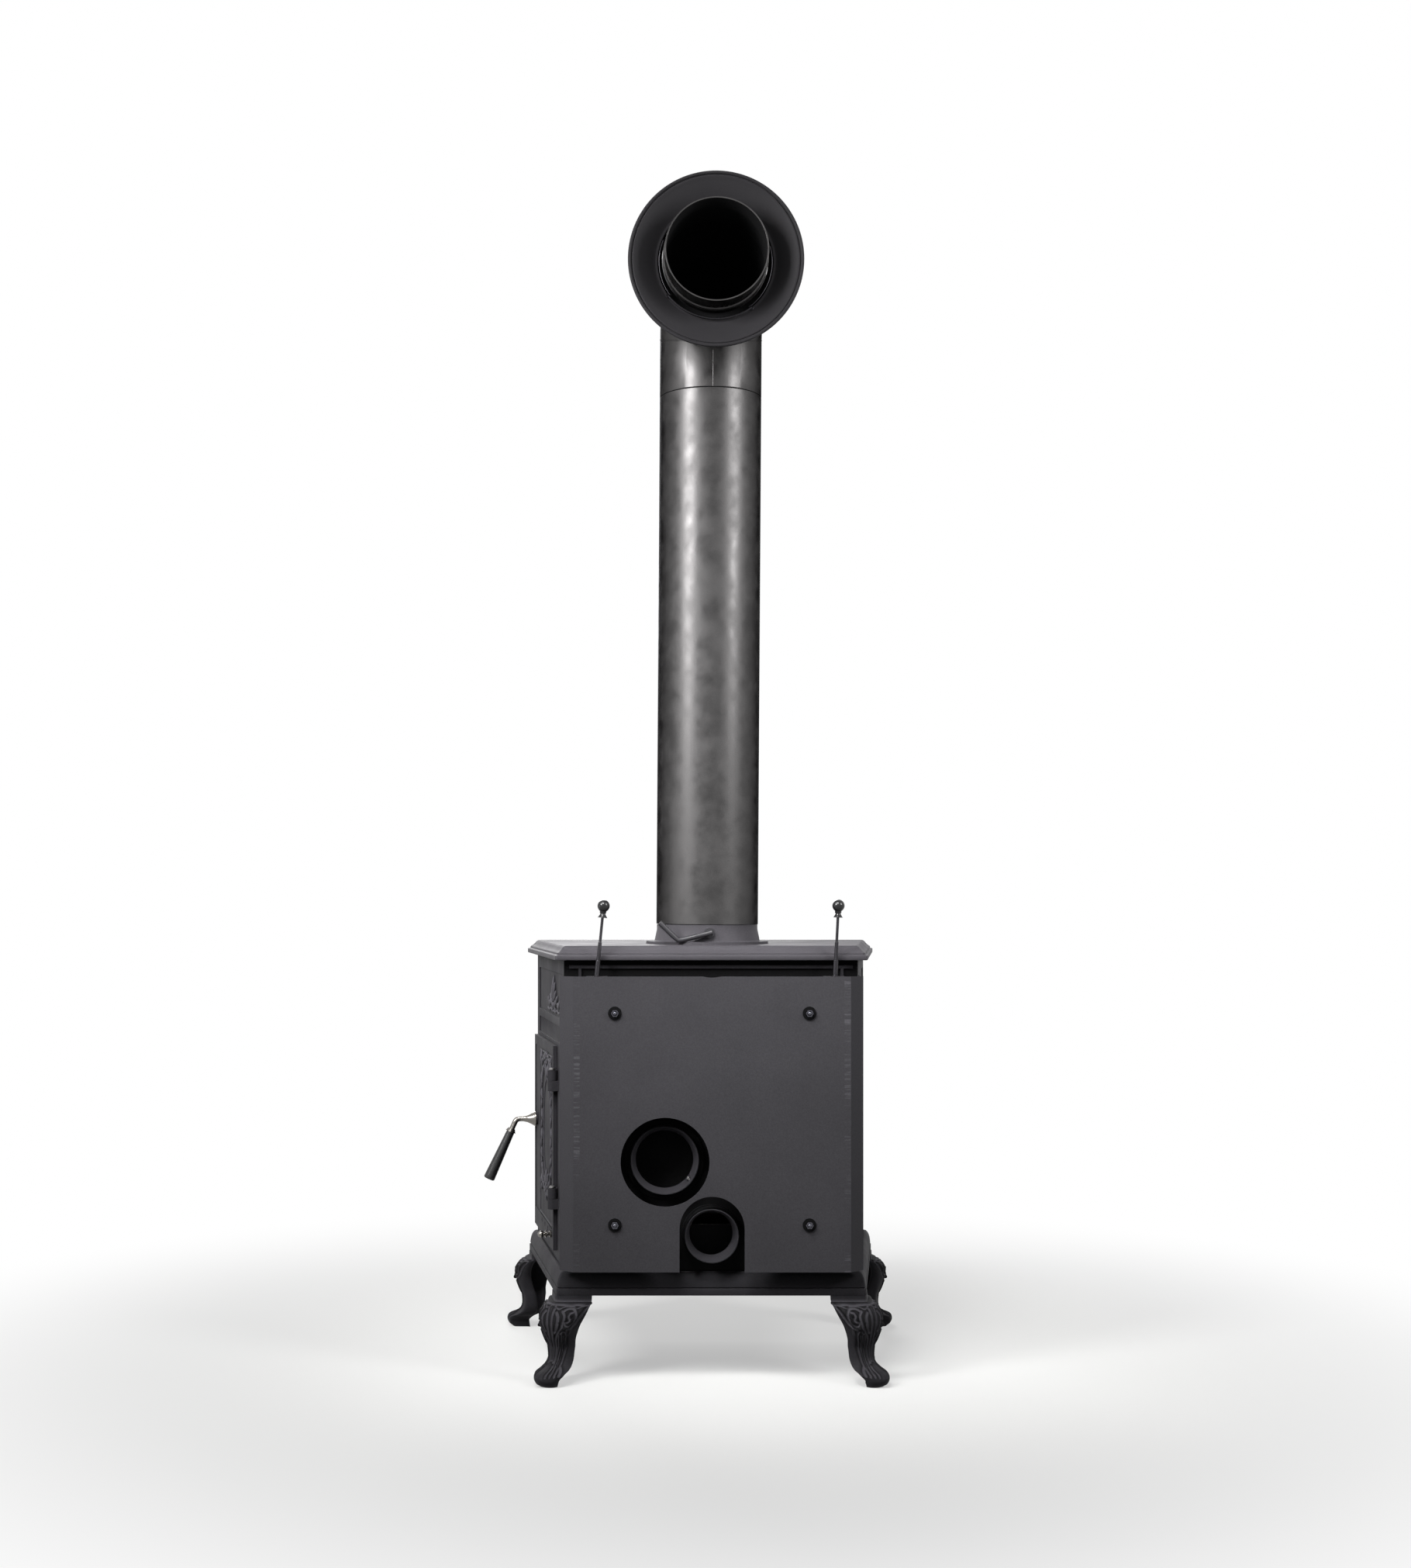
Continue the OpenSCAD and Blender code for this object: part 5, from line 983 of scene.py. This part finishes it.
def door_relief(where):
    """Ornament of the side door: flower sprays above and below, two hanging garlands and a smooth oval."""
    upper = both(DOOR_MID, DOOR_SPRAY) + flower((DOOR_MID, 446), 6, 8, 4.8, 3.8)
    upper += [((DOOR_MID, 425), 270, 12, 5.6, 3.6)]
    lower = [((y, 2 * DOOR_TURN_Z - z), -heading, long, wide, tall) for (y, z), heading, long, wide, tall in upper]
    stems = garland(DOOR_STEM, 11.5, 9.5, 4.6, 3.7)
    height = leaf_height(where, upper + lower + stems + both(DOOR_MID, stems)[len(stems):])
    buds = [((DOOR_MID, 446), 4.4, 4.6), ((DOOR_MID, 247), 4.4, 4.6)]
    height = np.maximum(height, knob_height(where, buds))
    oval = DOOR_OVAL + mirrored(DOOR_MID, DOOR_OVAL[::-1][1:])
    frame_beads = [([a, b], 1.7, 1.3) for a, b in zip(DOOR_FRAME, DOOR_FRAME[1:])]
    return np.maximum(height, bead_height(where, [(oval, 1.8, 1.7)] + frame_beads))


def frieze_relief(where):
    """Ornament of the frieze: a fan of leaves with sprays to both sides."""
    height = leaf_height(where, both(FRIEZE_MID, FRIEZE_FAN))
    height = np.maximum(height, knob_height(where, [((FRIEZE_MID, 527), 5.4, 4.8)]))
    stems = [(path, 1.7, 2.4) for path in (FRIEZE_STEM, mirrored(FRIEZE_MID, FRIEZE_STEM))]
    return np.maximum(height, bead_height(where, stems))


def on_wall(side, along, high, out):
    """A place on a side wall: along it to the rear, above the floor and out from its face."""
    side_a = math.atan(wall_slope())
    x = bpy.context.scene.stove_door.wall_x + out * math.cos(side_a) - along * math.sin(side_a)
    return (side * x, out * math.sin(side_a) + along * math.cos(side_a), high)


def wall_relief(name, side, span_y, span_z, floor, relief, step=0.0011):
    """A closed skin of cast relief that stands on the floor of a recess in a side wall."""
    bold = bpy.context.scene.stove_casting.relief
    ys = np.linspace(*span_y, int((span_y[1] - span_y[0]) / step) + 1)
    zs = np.linspace(*span_z, int((span_z[1] - span_z[0]) / step) + 1)
    where = np.stack(np.meshgrid(ys, zs), axis=-1).reshape(-1, 2)
    rise = relief(where / MM) * MM * bold + 0.00005
    rise = rise.reshape(len(zs), len(ys))
    rise[0], rise[-1], rise[:, 0], rise[:, -1] = 0, 0, 0, 0
    pts = [on_wall(side, y, z, floor + h) for (y, z), h in zip(where, rise.ravel())]
    wide, high = len(ys), len(zs)
    faces = [(r * wide + c, r * wide + c + 1, (r + 1) * wide + c + 1, (r + 1) * wide + c)
             for r in range(high - 1) for c in range(wide - 1)]
    rim = (list(range(wide)) + [r * wide + wide - 1 for r in range(1, high)]
           + [(high - 1) * wide + c for c in range(wide - 2, -1, -1)] + [r * wide for r in range(high - 2, 0, -1)])
    back = len(pts)
    pts += [on_wall(side, *where[i], floor - 0.0006) for i in rim]
    count = len(rim)
    faces += [(rim[(i + 1) % count], rim[i], back + i, back + (i + 1) % count) for i in range(count)]
    faces.append(tuple(back + i for i in reversed(range(count))))
    if side > 0:
        faces = flipped(faces)
    # Height over the neighbours, plus a share of the height itself, goes to the paint as painted highlight on ridges
    # and tops and painted shade in grooves
    lift = 0.8 * ridges(rise / MM, 4) + 0.1 * rise / MM
    return carry_relief_painted_shade(mesh_of(name, pts, faces), lift.ravel(), 0.9)


# Doors

class STOVE_OT_reliefs(bpy.types.Operator):
    """Cast ornament on the side door, the plain side and the friezes above them"""
    bl_idname = "stove.reliefs"
    bl_label = "Reliefs"

    def execute(self, context):
        d = context.scene.stove_door
        door_y, door_z = (d.panel_y0, d.panel_y1), (d.recess_z0, d.recess_z1)
        mesh = wall_relief("relief_side_door", 1, door_y, door_z, d.door_floor, door_relief)
        place("relief_side_door", mesh, "side_door_leaf", "cast_iron", smooth_deg=80)
        mesh = wall_relief("relief_left_side", -1, door_y, door_z, -d.wall_recess, door_relief)
        place("relief_left_side", mesh, "casing", "cast_iron", smooth_deg=80)
        for name, side in (("relief_frieze_right", 1), ("relief_frieze_left", -1)):
            mesh = wall_relief(name, side, (-d.frieze_y, d.frieze_y), (d.frieze_z0, d.frieze_z1), -d.wall_recess,
                               frieze_relief)
            place(name, mesh, "casing", "cast_iron", smooth_deg=80)
        return {"FINISHED"}


class STOVE_OT_doors(bpy.types.Operator):
    """Side door, front door with its glass, ash drawer, hinge pins and seals"""
    bl_idname = "stove.doors"
    bl_label = "Doors and drawer"

    def execute(self, context):
        edge = context.scene.stove_casting.edge
        for name, node, slot, rounding in (
                ("side_door_casting", "side_door", "cast_iron", edge),
                ("front_door_casting", "front_door", "cast_iron", edge),
                ("drawer_front_plate", "ash_drawer_front", "cast_iron", edge),
                ("drawer_box", "ash_drawer", "painted_sheet", 0.0003),
                ("drawer_knob_turned", "ash_drawer_knob", "nickel", 0),
                ("hinge_pins_side", "side_hinge_pins", "steel", 0.0005),
                ("hinge_pins_front", "front_hinge_pins", "steel", 0.0005),
                ("glass_clips_folded", "glass_clips", "steel", 0.0004),
                ("window_glass", "front_door_glass", "glass", 0.0004),
                ("seal_side", "side_door_gasket", "rope_seal", 0.0008),
                ("seal_front", "front_door_gasket", "rope_seal", 0.0008),
                ("air_slide_side", "side_air_slide", "steel", 0.0003),
                ("air_slide_knob", "side_air_knob", "nickel", 0)):
            softened(name, node, slot, rounding)
        return {"FINISHED"}


class STOVE_OT_handles(bpy.types.Operator):
    """Nickelled stems, black grips and latch spindles of the two doors"""
    bl_idname = "stove.handles"
    bl_label = "Handles"

    def execute(self, context):
        for door in ("side", "front"):
            softened(door + "_latch_turned", door + "_latch_spindle", "steel", 0.0004)
            softened(door + "_stem_plated", door + "_handle_stem", "nickel", 0.0004, angle=40, smooth_deg=45)
            softened(door + "_grip_moulded", door + "_handle_grip", "grip", 0.0006)
        return {"FINISHED"}


# Rear

class STOVE_OT_rear(bpy.types.Operator):
    """Heat shield with its bolts, spacers and the two air inlets"""
    bl_idname = "stove.rear"
    bl_label = "Heat shield and inlets"

    @staticmethod
    def inlet(size):
        """Turned inlet: flange, sleeve with a rounded lip, and a mouth that narrows inward."""
        rear = bpy.context.scene.stove_rear
        x, z, radius, rim_y, flange = [getattr(rear, size + part)
                                       for part in ("_x", "_z", "_r", "_rim_y", "_flange")]
        deep = rim_y - rear.inlet_foot_y
        foot = radius + flange
        # Radius and depth: down the mouth's inner face, round the lip, and out over the flange
        profile = [(radius - 0.0078, deep), (radius - 0.0022, 0.0007), (radius - 0.0017, 0.0002),
                   (radius - 0.0011, 0.0), (radius - 0.0004, 0.0003), (radius, 0.001), (radius, deep - 0.0048),
                   (radius + 0.0008, deep - 0.004), (foot - 0.0008, deep - 0.004), (foot, deep - 0.0032),
                   (foot, deep)]
        pts, faces = turned(profile, Vector((x, rim_y, z)))

        # Faces outside the sleeve and on the flange, behind the lip, take near-black iron as painted shadow
        def painted_shadow_outside(centre, normal):
            inward = Vector((x - centre.x, 0, z - centre.z)).normalized().dot(normal)
            return centre.y < rim_y - 0.0015 and inward < 0.3

        place("inlet_" + size, (pts, outward(pts, faces)), "casing", "cast_iron", [size + "_air_inlet"], 35,
              second=("black_and_painted_shadow", painted_shadow_outside))

    @staticmethod
    def nut(centre, normal):
        """Whether a face of a shield bolt lies on its nut, over the washer."""
        return centre.y > bpy.context.scene.stove_rear.washer_y

    def execute(self, context):
        softened("shield_folded_sheet", "rear_heat_shield", "painted_sheet", 0.0003)
        softened("shield_spacer_tubes", "shield_spacers", "steel", 0.0003)
        softened("shield_nuts", "shield_bolts", "black_steel", 0.0004, angle=35, finish="black_and_painted_shadow",
                 second=("nut", self.nut))
        self.inlet("large")
        self.inlet("small")
        softened("inlet_screw_head", "inlet_screw", "steel", 0.0003)
        softened("shutter_guide_rails", "shutter_guides", "painted_sheet", 0.0003)
        # The air box behind the inlets takes near-black as painted shade
        softened("air_box_folded", "rear_air_box", "painted_sheet", 0.0003, finish="painted_shade_black")
        return {"FINISHED"}


class STOVE_OT_air_rods(bpy.types.Operator):
    """Shutters behind the shield and the rods with black knobs that lift them"""
    bl_idname = "stove.air_rods"
    bl_label = "Air rods"

    def execute(self, context):
        for side in ("right", "left"):
            softened(side + "_shutter_sheet", side + "_air_shutter", "painted_sheet", 0.0003)
            softened(side + "_rod_drawn", side + "_air_rod", "steel", 0.0003, finish="rod")
            softened(side + "_knob_moulded", side + "_rod_knob", "gloss_knob", 0)
        return {"FINISHED"}


class STOVE_OT_firebox(bpy.types.Operator):
    """Firebricks, baffle, grate and log retainer"""
    bl_idname = "stove.firebox"
    bl_label = "Firebox"

    def execute(self, context):
        edge = context.scene.stove_casting.edge
        for name, node in (("bricks_left", "firebricks_left"), ("bricks_rear", "firebricks_rear")):
            softened(name, node, "firebrick", 0.0015)
        for name, node in (("baffle", "baffle_plate"), ("grate_carrier", "grate_carrier"), ("grate", "grate"),
                           ("retainer", "log_retainer")):
            softened(name + "_casting", node, "cast_iron", edge)
        return {"FINISHED"}


# Flue

# Elbow, in metres: its sheet, the gap over the pipe's end, how deep its foot enters the pipe, and the eased edge
SHEET_T, JOINT_GAP, FOOT_DEEP, EASED = 0.0012, 0.0011, 0.034, 0.0004
SEGMENTS = 4
MITRE_A = math.radians(15)


def leaning():
    """The lean of the whole flue, about the left end of the pipe's foot."""
    f = bpy.context.scene.stove_flue
    pivot = Vector((-f.pipe_r, 0, f.flue_foot))
    return Matrix.Translation(pivot) @ Matrix.Rotation(-f.flue_lean, 4, "Y") @ Matrix.Translation(-pivot)


def flue_gap(place_at):
    """Distance of a place from the flue's middle line, which rises, bends and leaves to the rear."""
    f = bpy.context.scene.stove_flue
    p = leaning().inverted() @ Vector(place_at)
    if p.z < f.bend_z:
        return math.hypot(p.x, p.y - f.flue_y), Vector((-p.x, f.flue_y - p.y, 0))
    radius = f.outlet_z - f.bend_z
    if p.y > f.bend_y:
        return math.hypot(p.x, p.z - f.outlet_z), Vector((-p.x, 0, f.outlet_z - p.z))
    arm = Vector((0, p.y - f.bend_y, p.z - f.bend_z))
    middle = Vector((0, f.bend_y, f.bend_z)) + arm.normalized() * radius
    return (p - middle).length, middle - p


def inside_flue(centre, normal):
    """Whether a face looks into the flue."""
    gap, inward = flue_gap(centre)
    return normal.dot(inward) > 0.3 * inward.length and gap < bpy.context.scene.stove_flue.pipe_r - 0.0003


class STOVE_OT_flue(bpy.types.Operator):
    """Collar, damper, pipe and elbow, whose inner faces take near-black as painted shade"""
    bl_idname = "stove.flue"
    bl_label = "Flue"

    @staticmethod
    def mitre(radius, k, turns):
        """Ring of the elbow on its k-th mitre, or on its foot for 0 and its outlet for the last one."""
        f = bpy.context.scene.stove_flue
        a = MITRE_A * (2 * k - 1)
        ring = []
        for t in turns:
            deep = f.outlet_z - f.bend_z - radius * math.sin(t)
            if k == 0:
                place_at = (f.bend_y - deep, f.joint_z + JOINT_GAP)
            elif k == SEGMENTS:
                place_at = (f.outlet_y, f.bend_z + deep)
            else:
                arm = deep / math.cos(MITRE_A)
                place_at = (f.bend_y - arm * math.cos(a), f.bend_z + arm * math.sin(a))
            ring.append(leaning() @ Vector((radius * math.cos(t), *place_at)))
        return ring

    def elbow(self):
        """Points and faces of the mitred segments and of the foot that enters the pipe."""
        f = bpy.context.scene.stove_flue
        around = angles(96)
        rings = [np.array([self.mitre(f.pipe_r - d, k, around) for d in (0, EASED, SHEET_T)])
                 for k in range(SEGMENTS + 1)]
        skins = []
        for low, high in zip(rings, rings[1:]):
            ease = (high[0] - low[0]) * 0.01
            skins.append(lofted([low[1], low[0] + ease, high[0] - ease, high[1], high[2], low[2]], "joined"))
        inner = f.pipe_r - 2 * SHEET_T
        foot = [(inner, 0.003), (inner, -FOOT_DEEP), (inner + 0.0008, -FOOT_DEEP), (f.pipe_r - SHEET_T, 0.003)]
        skins.append(lofted([[leaning() @ Vector((r * math.cos(a), f.flue_y + r * math.sin(a), f.joint_z + z))
                              for a in around] for r, z in foot], "joined"))
        pts, faces = [], []
        for part, part_faces in skins:
            faces += [tuple(i + len(pts) for i in face) for face in part_faces]
            pts += list(part)
        return pts, faces

    @staticmethod
    def in_painted_shade(centre, normal):
        """Whether a face of the elbow looks into the flue or lies on the foot that enters the pipe; such faces take
        near-black as painted shade, which on the foot darkens the joint line.
        """
        f = bpy.context.scene.stove_flue
        foot = centre.z < f.joint_z + 0.006 and flue_gap(centre)[0] < f.pipe_r - 0.0011
        return foot or inside_flue(centre, normal)

    def execute(self, context):
        f = context.scene.stove_flue
        # Faces that look into the flue take near-black as painted shade
        painted_shade_black = ("painted_shade_black", inside_flue)
        # The collar takes the paler iron as painted light from above
        softened("collar_casting", "flue_collar", "cast_iron", 0.0008, finish="plate")
        softened("collar_bolt_heads", "collar_bolts", "steel", 0.0004)
        softened("damper_disc_casting", "damper_disc", "cast_iron", 0.0006)
        softened("damper_handle_bent", "damper_spindle", "black_steel", 0.0003, angle=40, smooth_deg=45,
                 finish="handle_rod")
        softened("pipe_rolled", "flue_pipe", "painted_pipe", 0.0004, second=painted_shade_black)
        place("elbow_segments", self.elbow(), "outlet_elbow", "painted_pipe", ["flue_elbow"], 30,
              second=("painted_shade_black", self.in_painted_shade))
        softened("elbow_outlet_sleeve", "elbow_outlet", "painted_pipe", 0.0003, second=painted_shade_black)
        for k in range(1, SEGMENTS):
            weld = self.mitre(f.pipe_r, k, angles(96) + [2 * math.pi])
            place("elbow_weld_%d" % k, tube(weld, 0.0007, 8), "outlet_elbow", "painted_pipe")
        # Lap of the rolled sheet along the elbow's foot
        lap_y = f.flue_y + f.pipe_r - 0.0001
        line = [leaning() @ Vector((0, lap_y, f.joint_z + 0.0015 + 0.00275 * i)) for i in range(20)]
        place("elbow_seam", tube(line, 0.0004, 8), "outlet_elbow", "painted_pipe")
        return {"FINISHED"}


class STOVE_OT_rosette(bpy.types.Operator):
    """Spun wall rosette with its rolled rim and neck, and the spring wire that holds it on the outlet"""
    bl_idname = "stove.rosette"
    bl_label = "Rosette"

    def execute(self, context):
        f = context.scene.stove_flue
        lean = leaning()
        middle = Vector((0, f.rosette_y, f.outlet_z - f.rosette_drop))
        rim, hole = f.rosette_r / MM, f.rosette_hole_r / MM
        # Face of the rosette from the back of the rolled rim to the lip: radius and depth in millimetres
        face = [(rim - 4.6, 4.2), (rim - 2.4, 4.8), (rim - 0.7, 4.1), (rim, 2.4), (rim - 0.7, 0.7),
                (rim - 2.4, 0.0), (rim - 3.9, 0.6), (rim - 4.7, 1.8), (rim - 5.1, 2.9), (rim - 5.6, 3.0),
                (rim - 6.1, 2.2), (rim - 7.0, 1.7), (rim - 8.2, 2.0), (rim - 10, 3.0), (rim - 14, 4.7),
                (rim - 19, 6.8), (rim - 25, 9.6), (rim - 31, 12.6), (rim - 35, 14.8), (rim - 38, 16.4),
                (hole + 2.6, 17.2), (hole + 1.0, 17.0), (hole + 0.2, 17.4), (hole, 18.4)]
        back = [(r + 0.35, d + 0.9) for r, d in face[:10:-1]]
        face = [(r * MM, d * MM) for r, d in face + back]
        pts, faces = turned(face, middle, 144)
        pts = [lean @ Vector(p) for p in pts]
        place("rosette_spun", (pts, faces), "rosette", "painted_pipe", ["wall_rosette"], 50, "rosette")
        # Neck: closes from the hole to the outlet, which it clears by half a millimetre; it takes near-black as
        # painted shade
        rings = []
        shares = (0.0, 0.25, 0.5, 0.75, 1.0)
        for share, sheet in [(v, 0) for v in shares] + [(v, 0.0007) for v in reversed(shares)]:
            r = f.rosette_hole_r * (1 - share) + (f.pipe_r + 0.0005) * share + sheet
            z = f.outlet_z - f.rosette_drop * (1 - share)
            y = f.rosette_y - 0.0182 - 0.012 * share - (0.0003 if sheet else 0)
            rings.append([lean @ Vector((r * math.cos(a), y, z + r * math.sin(a))) for a in angles(96)])
        place("rosette_neck", lofted(rings, "joined"), "rosette", "painted_pipe", finish="painted_shade_black")
        softened("rosette_wire", "rosette_spring", "steel", 0, smooth_deg=60, finish="rod")
        # Ends of the wire: side, angle of the hook and angle of the wire's end, in degrees
        for name, a0, a1 in (("right", -36.4, 22.0), ("left", -128.4, -196.0)):
            line = []
            for i in range(25):
                a = math.radians(a0 + (a1 - a0) * i / 24)
                r = f.rosette_hole_r - 0.0019
                line.append(lean @ (middle + Vector((r * math.cos(a), -0.0158, r * math.sin(a)))))
            place("rosette_wire_" + name, tube(line, 0.0007), "rosette", "steel", finish="rod")
            # Clip: a loop of the wire round the lip of the hole, by place along the lip, depth and way outward
            a = math.radians(a0)
            out = Vector((math.cos(a), 0, math.sin(a)))
            along = Vector((-math.sin(a), 0, math.cos(a)))
            at = middle + out * (f.rosette_hole_r - 0.001)
            bend = [(-0.0022, -0.0178, 0.0), (-0.0022, -0.0158, 0.0034), (0.0, -0.0150, 0.0046),
                    (0.0022, -0.0158, 0.0034), (0.0022, -0.0178, -0.001), (0.0, -0.0186, -0.0024)]
            line = [lean @ (at + along * way + Vector((0, deep, 0)) + out * high) for way, deep, high in bend]
            place("rosette_clip_" + name, tube(line, 0.0011), "rosette", "steel", finish="rod")
        return {"FINISHED"}


# Studio

def soft_lamp(name, place_at, aim, wide, tall, power, spread_deg):
    """One soft box that faces a point; a grid on its front narrows its spread."""
    data = bpy.data.lights.new(name, "AREA")
    data.shape = "RECTANGLE"
    data.size, data.size_y = wide, tall
    data.energy = power
    data.spread = math.radians(spread_deg)
    lamp = bpy.data.objects.new(name, data)
    bpy.context.scene.collection.objects.link(lamp)
    lamp.location = place_at
    lamp.rotation_euler = (Vector(aim) - Vector(place_at)).to_track_quat("-Z", "Y").to_euler()
    lamp.visible_camera = False


class STOVE_OT_studio(bpy.types.Operator):
    """Pale floor, white surround, soft boxes and the camera"""
    bl_idname = "stove.studio"
    bl_label = "Studio"

    @staticmethod
    def seen_rays(tree):
        """1 for rays of the camera, and of what metal and glass show."""
        ray = add(tree, "LightPath").outputs
        seen = add(tree, "Math", {0: ray["Is Camera Ray"], 1: ray["Is Glossy Ray"]}, operation="MAXIMUM")
        return add(tree, "Math", {0: seen, 1: ray["Is Transmission Ray"]},
                   operation="MAXIMUM")

    def execute(self, context):
        s = context.scene.stove_studio
        scene = context.scene
        far = 9
        corners = [(-far, -far, 0), (far, -far, 0), (far, far, 0), (-far, far, 0)]
        mesh = mesh_of("floor_sheet", corners, [(0, 1, 2, 3)])
        floor = bpy.data.objects.new("floor_sheet", mesh)
        scene.collection.objects.link(floor)
        made, tree, where = new_finish("floor_paper_matt")
        tone = add(tree, "TexNoise", {"Vector": where, "Scale": 1.2})
        pale = tuple(s.floor)
        hue = add(tree, "Mix", {"Factor": tone, "A": pale, "B": [c * 0.985 for c in pale[:3]] + [1.0]},
                  data_type="RGBA")
        seen = self.seen_rays(tree)
        hue = add(tree, "Mix", {"Factor": seen, "A": tuple(s.floor_bounce), "B": hue},
                  data_type="RGBA")
        shader = add(tree, "BsdfPrincipled", {"Base Color": hue, "Roughness": 0.9,
                                                        "Specular IOR Level": 0.0})
        # Away from the stove the paper passes into the white surround, and near it the paper keeps the shadow
        away = add(tree, "VectorMath", {0: where}, operation="LENGTH")
        fade = add(tree, "MapRange", {"Value": away, "From Min": s.fade_start, "From Max": s.fade_end},
                   interpolation_type="SMOOTHSTEP")
        share = add(tree, "Math", {0: fade, 1: seen}, operation="MULTIPLY")
        lift = add(tree, "Math", {0: seen, 1: s.floor_lift}, operation="MULTIPLY")
        glow = add(tree, "Emission", {"Color": (1, 1, 1, 1), "Strength": lift})
        near = add(tree, "AddShader", {0: shader, 1: glow})
        white = add(tree, "Emission", {"Color": (1, 1, 1, 1), "Strength": 1.0})
        whole = add(tree, "MixShader", {0: share, 1: near, 2: white})
        add(tree, "OutputMaterial", {"Surface": whole})
        mesh.materials.append(made)

        world = bpy.data.worlds.new("studio_surround")
        scene.world = world
        world.use_nodes = True
        tree = world.node_tree
        tree.nodes.clear()
        fill = add(tree, "Background", {"Color": linear("#e9ebee"), "Strength": s.fill})
        white = add(tree, "Background", {"Color": (1, 1, 1, 1), "Strength": 1.0})
        both_sides = add(tree, "MixShader", {
            0: self.seen_rays(tree), 1: fill, 2: white})
        add(tree, "OutputWorld", {"Surface": both_sides})

        # Soft boxes: place, aim, width, height, share of the key lamp's power, spread in degrees
        for name, place_at, aim, wide, tall, share, spread in (
                ("left", (1.5, 1.35, 1.8), (0, 0.06, 1.15), 0.6, 1.1, 0.27, 80),
                ("low", (2.1, 0.6, 0.6), (0.1, 0.15, 0.35), 0.5, 0.6, 0.05, 180),
                ("right", (-1.5, 1.2, 1.75), (0, 0.06, 1.15), 0.5, 1.1, 0.13, 80),
                ("top", (0.3, 1.0, 1.75), (0, 0.2, 0.65), 0.6, 0.4, 0.045, 50),
                ("front", (0.5, -3.0, 2.2), (0, 0, 0.6), 1.8, 1.8, 0.9, 180)):
            soft_lamp("soft_box_" + name, place_at, aim, wide, tall, s.key * share, spread)

        lens = bpy.data.cameras.new("photo_camera")
        lens.sensor_fit = "AUTO"
        lens.sensor_width = 36
        lens.lens = s.lens
        lens.shift_x, lens.shift_y = s.shift
        lens.clip_start, lens.clip_end = 0.05, 60
        camera = bpy.data.objects.new("photo_camera", lens)
        scene.collection.objects.link(camera)
        camera.location = s.camera
        camera.rotation_euler = (math.pi / 2, 0, math.pi)
        scene.camera = camera
        scene.view_settings.view_transform = "Standard"
        return {"FINISHED"}


# Panel and run

class STOVE_PT_panel(bpy.types.Panel):
    """Lists the steps that build the stove"""
    bl_idname = "STOVE_PT_panel"
    bl_label = "Cast-iron stove"
    bl_space_type = "VIEW_3D"
    bl_region_type = "UI"
    bl_category = "Stove"

    def draw(self, context):
        layout = self.layout
        for key, kind in GROUPS.items():
            box = layout.box()
            for size in kind.__annotations__:
                box.prop(getattr(context.scene, key), size)
        for step in STEPS:
            layout.operator(step.bl_idname)


GROUPS = {"stove_casting": StoveCasting, "stove_door": StoveDoor, "stove_flue": StoveFlue,
          "stove_rear": StoveRear, "stove_fitting": StoveFitting, "stove_studio": StoveStudio}
STEPS = (STOVE_OT_studio, STOVE_OT_legs, STOVE_OT_casing, STOVE_OT_reliefs, STOVE_OT_doors, STOVE_OT_handles,
         STOVE_OT_rear, STOVE_OT_air_rods, STOVE_OT_firebox, STOVE_OT_flue, STOVE_OT_rosette)


def register():
    for key, group in GROUPS.items():
        bpy.utils.register_class(group)
        setattr(bpy.types.Scene, key, bpy.props.PointerProperty(type=group))
    for kind in STEPS + (STOVE_PT_panel,):
        bpy.utils.register_class(kind)


def unregister():
    for kind in reversed(STEPS + (STOVE_PT_panel,)):
        bpy.utils.unregister_class(kind)
    for key, group in GROUPS.items():
        delattr(bpy.types.Scene, key)
        bpy.utils.unregister_class(group)


def main():
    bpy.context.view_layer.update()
    register()
    for step in STEPS:
        group, action = step.bl_idname.split(".")
        getattr(getattr(bpy.ops, group), action)()


if __name__ == "__main__":
    main()
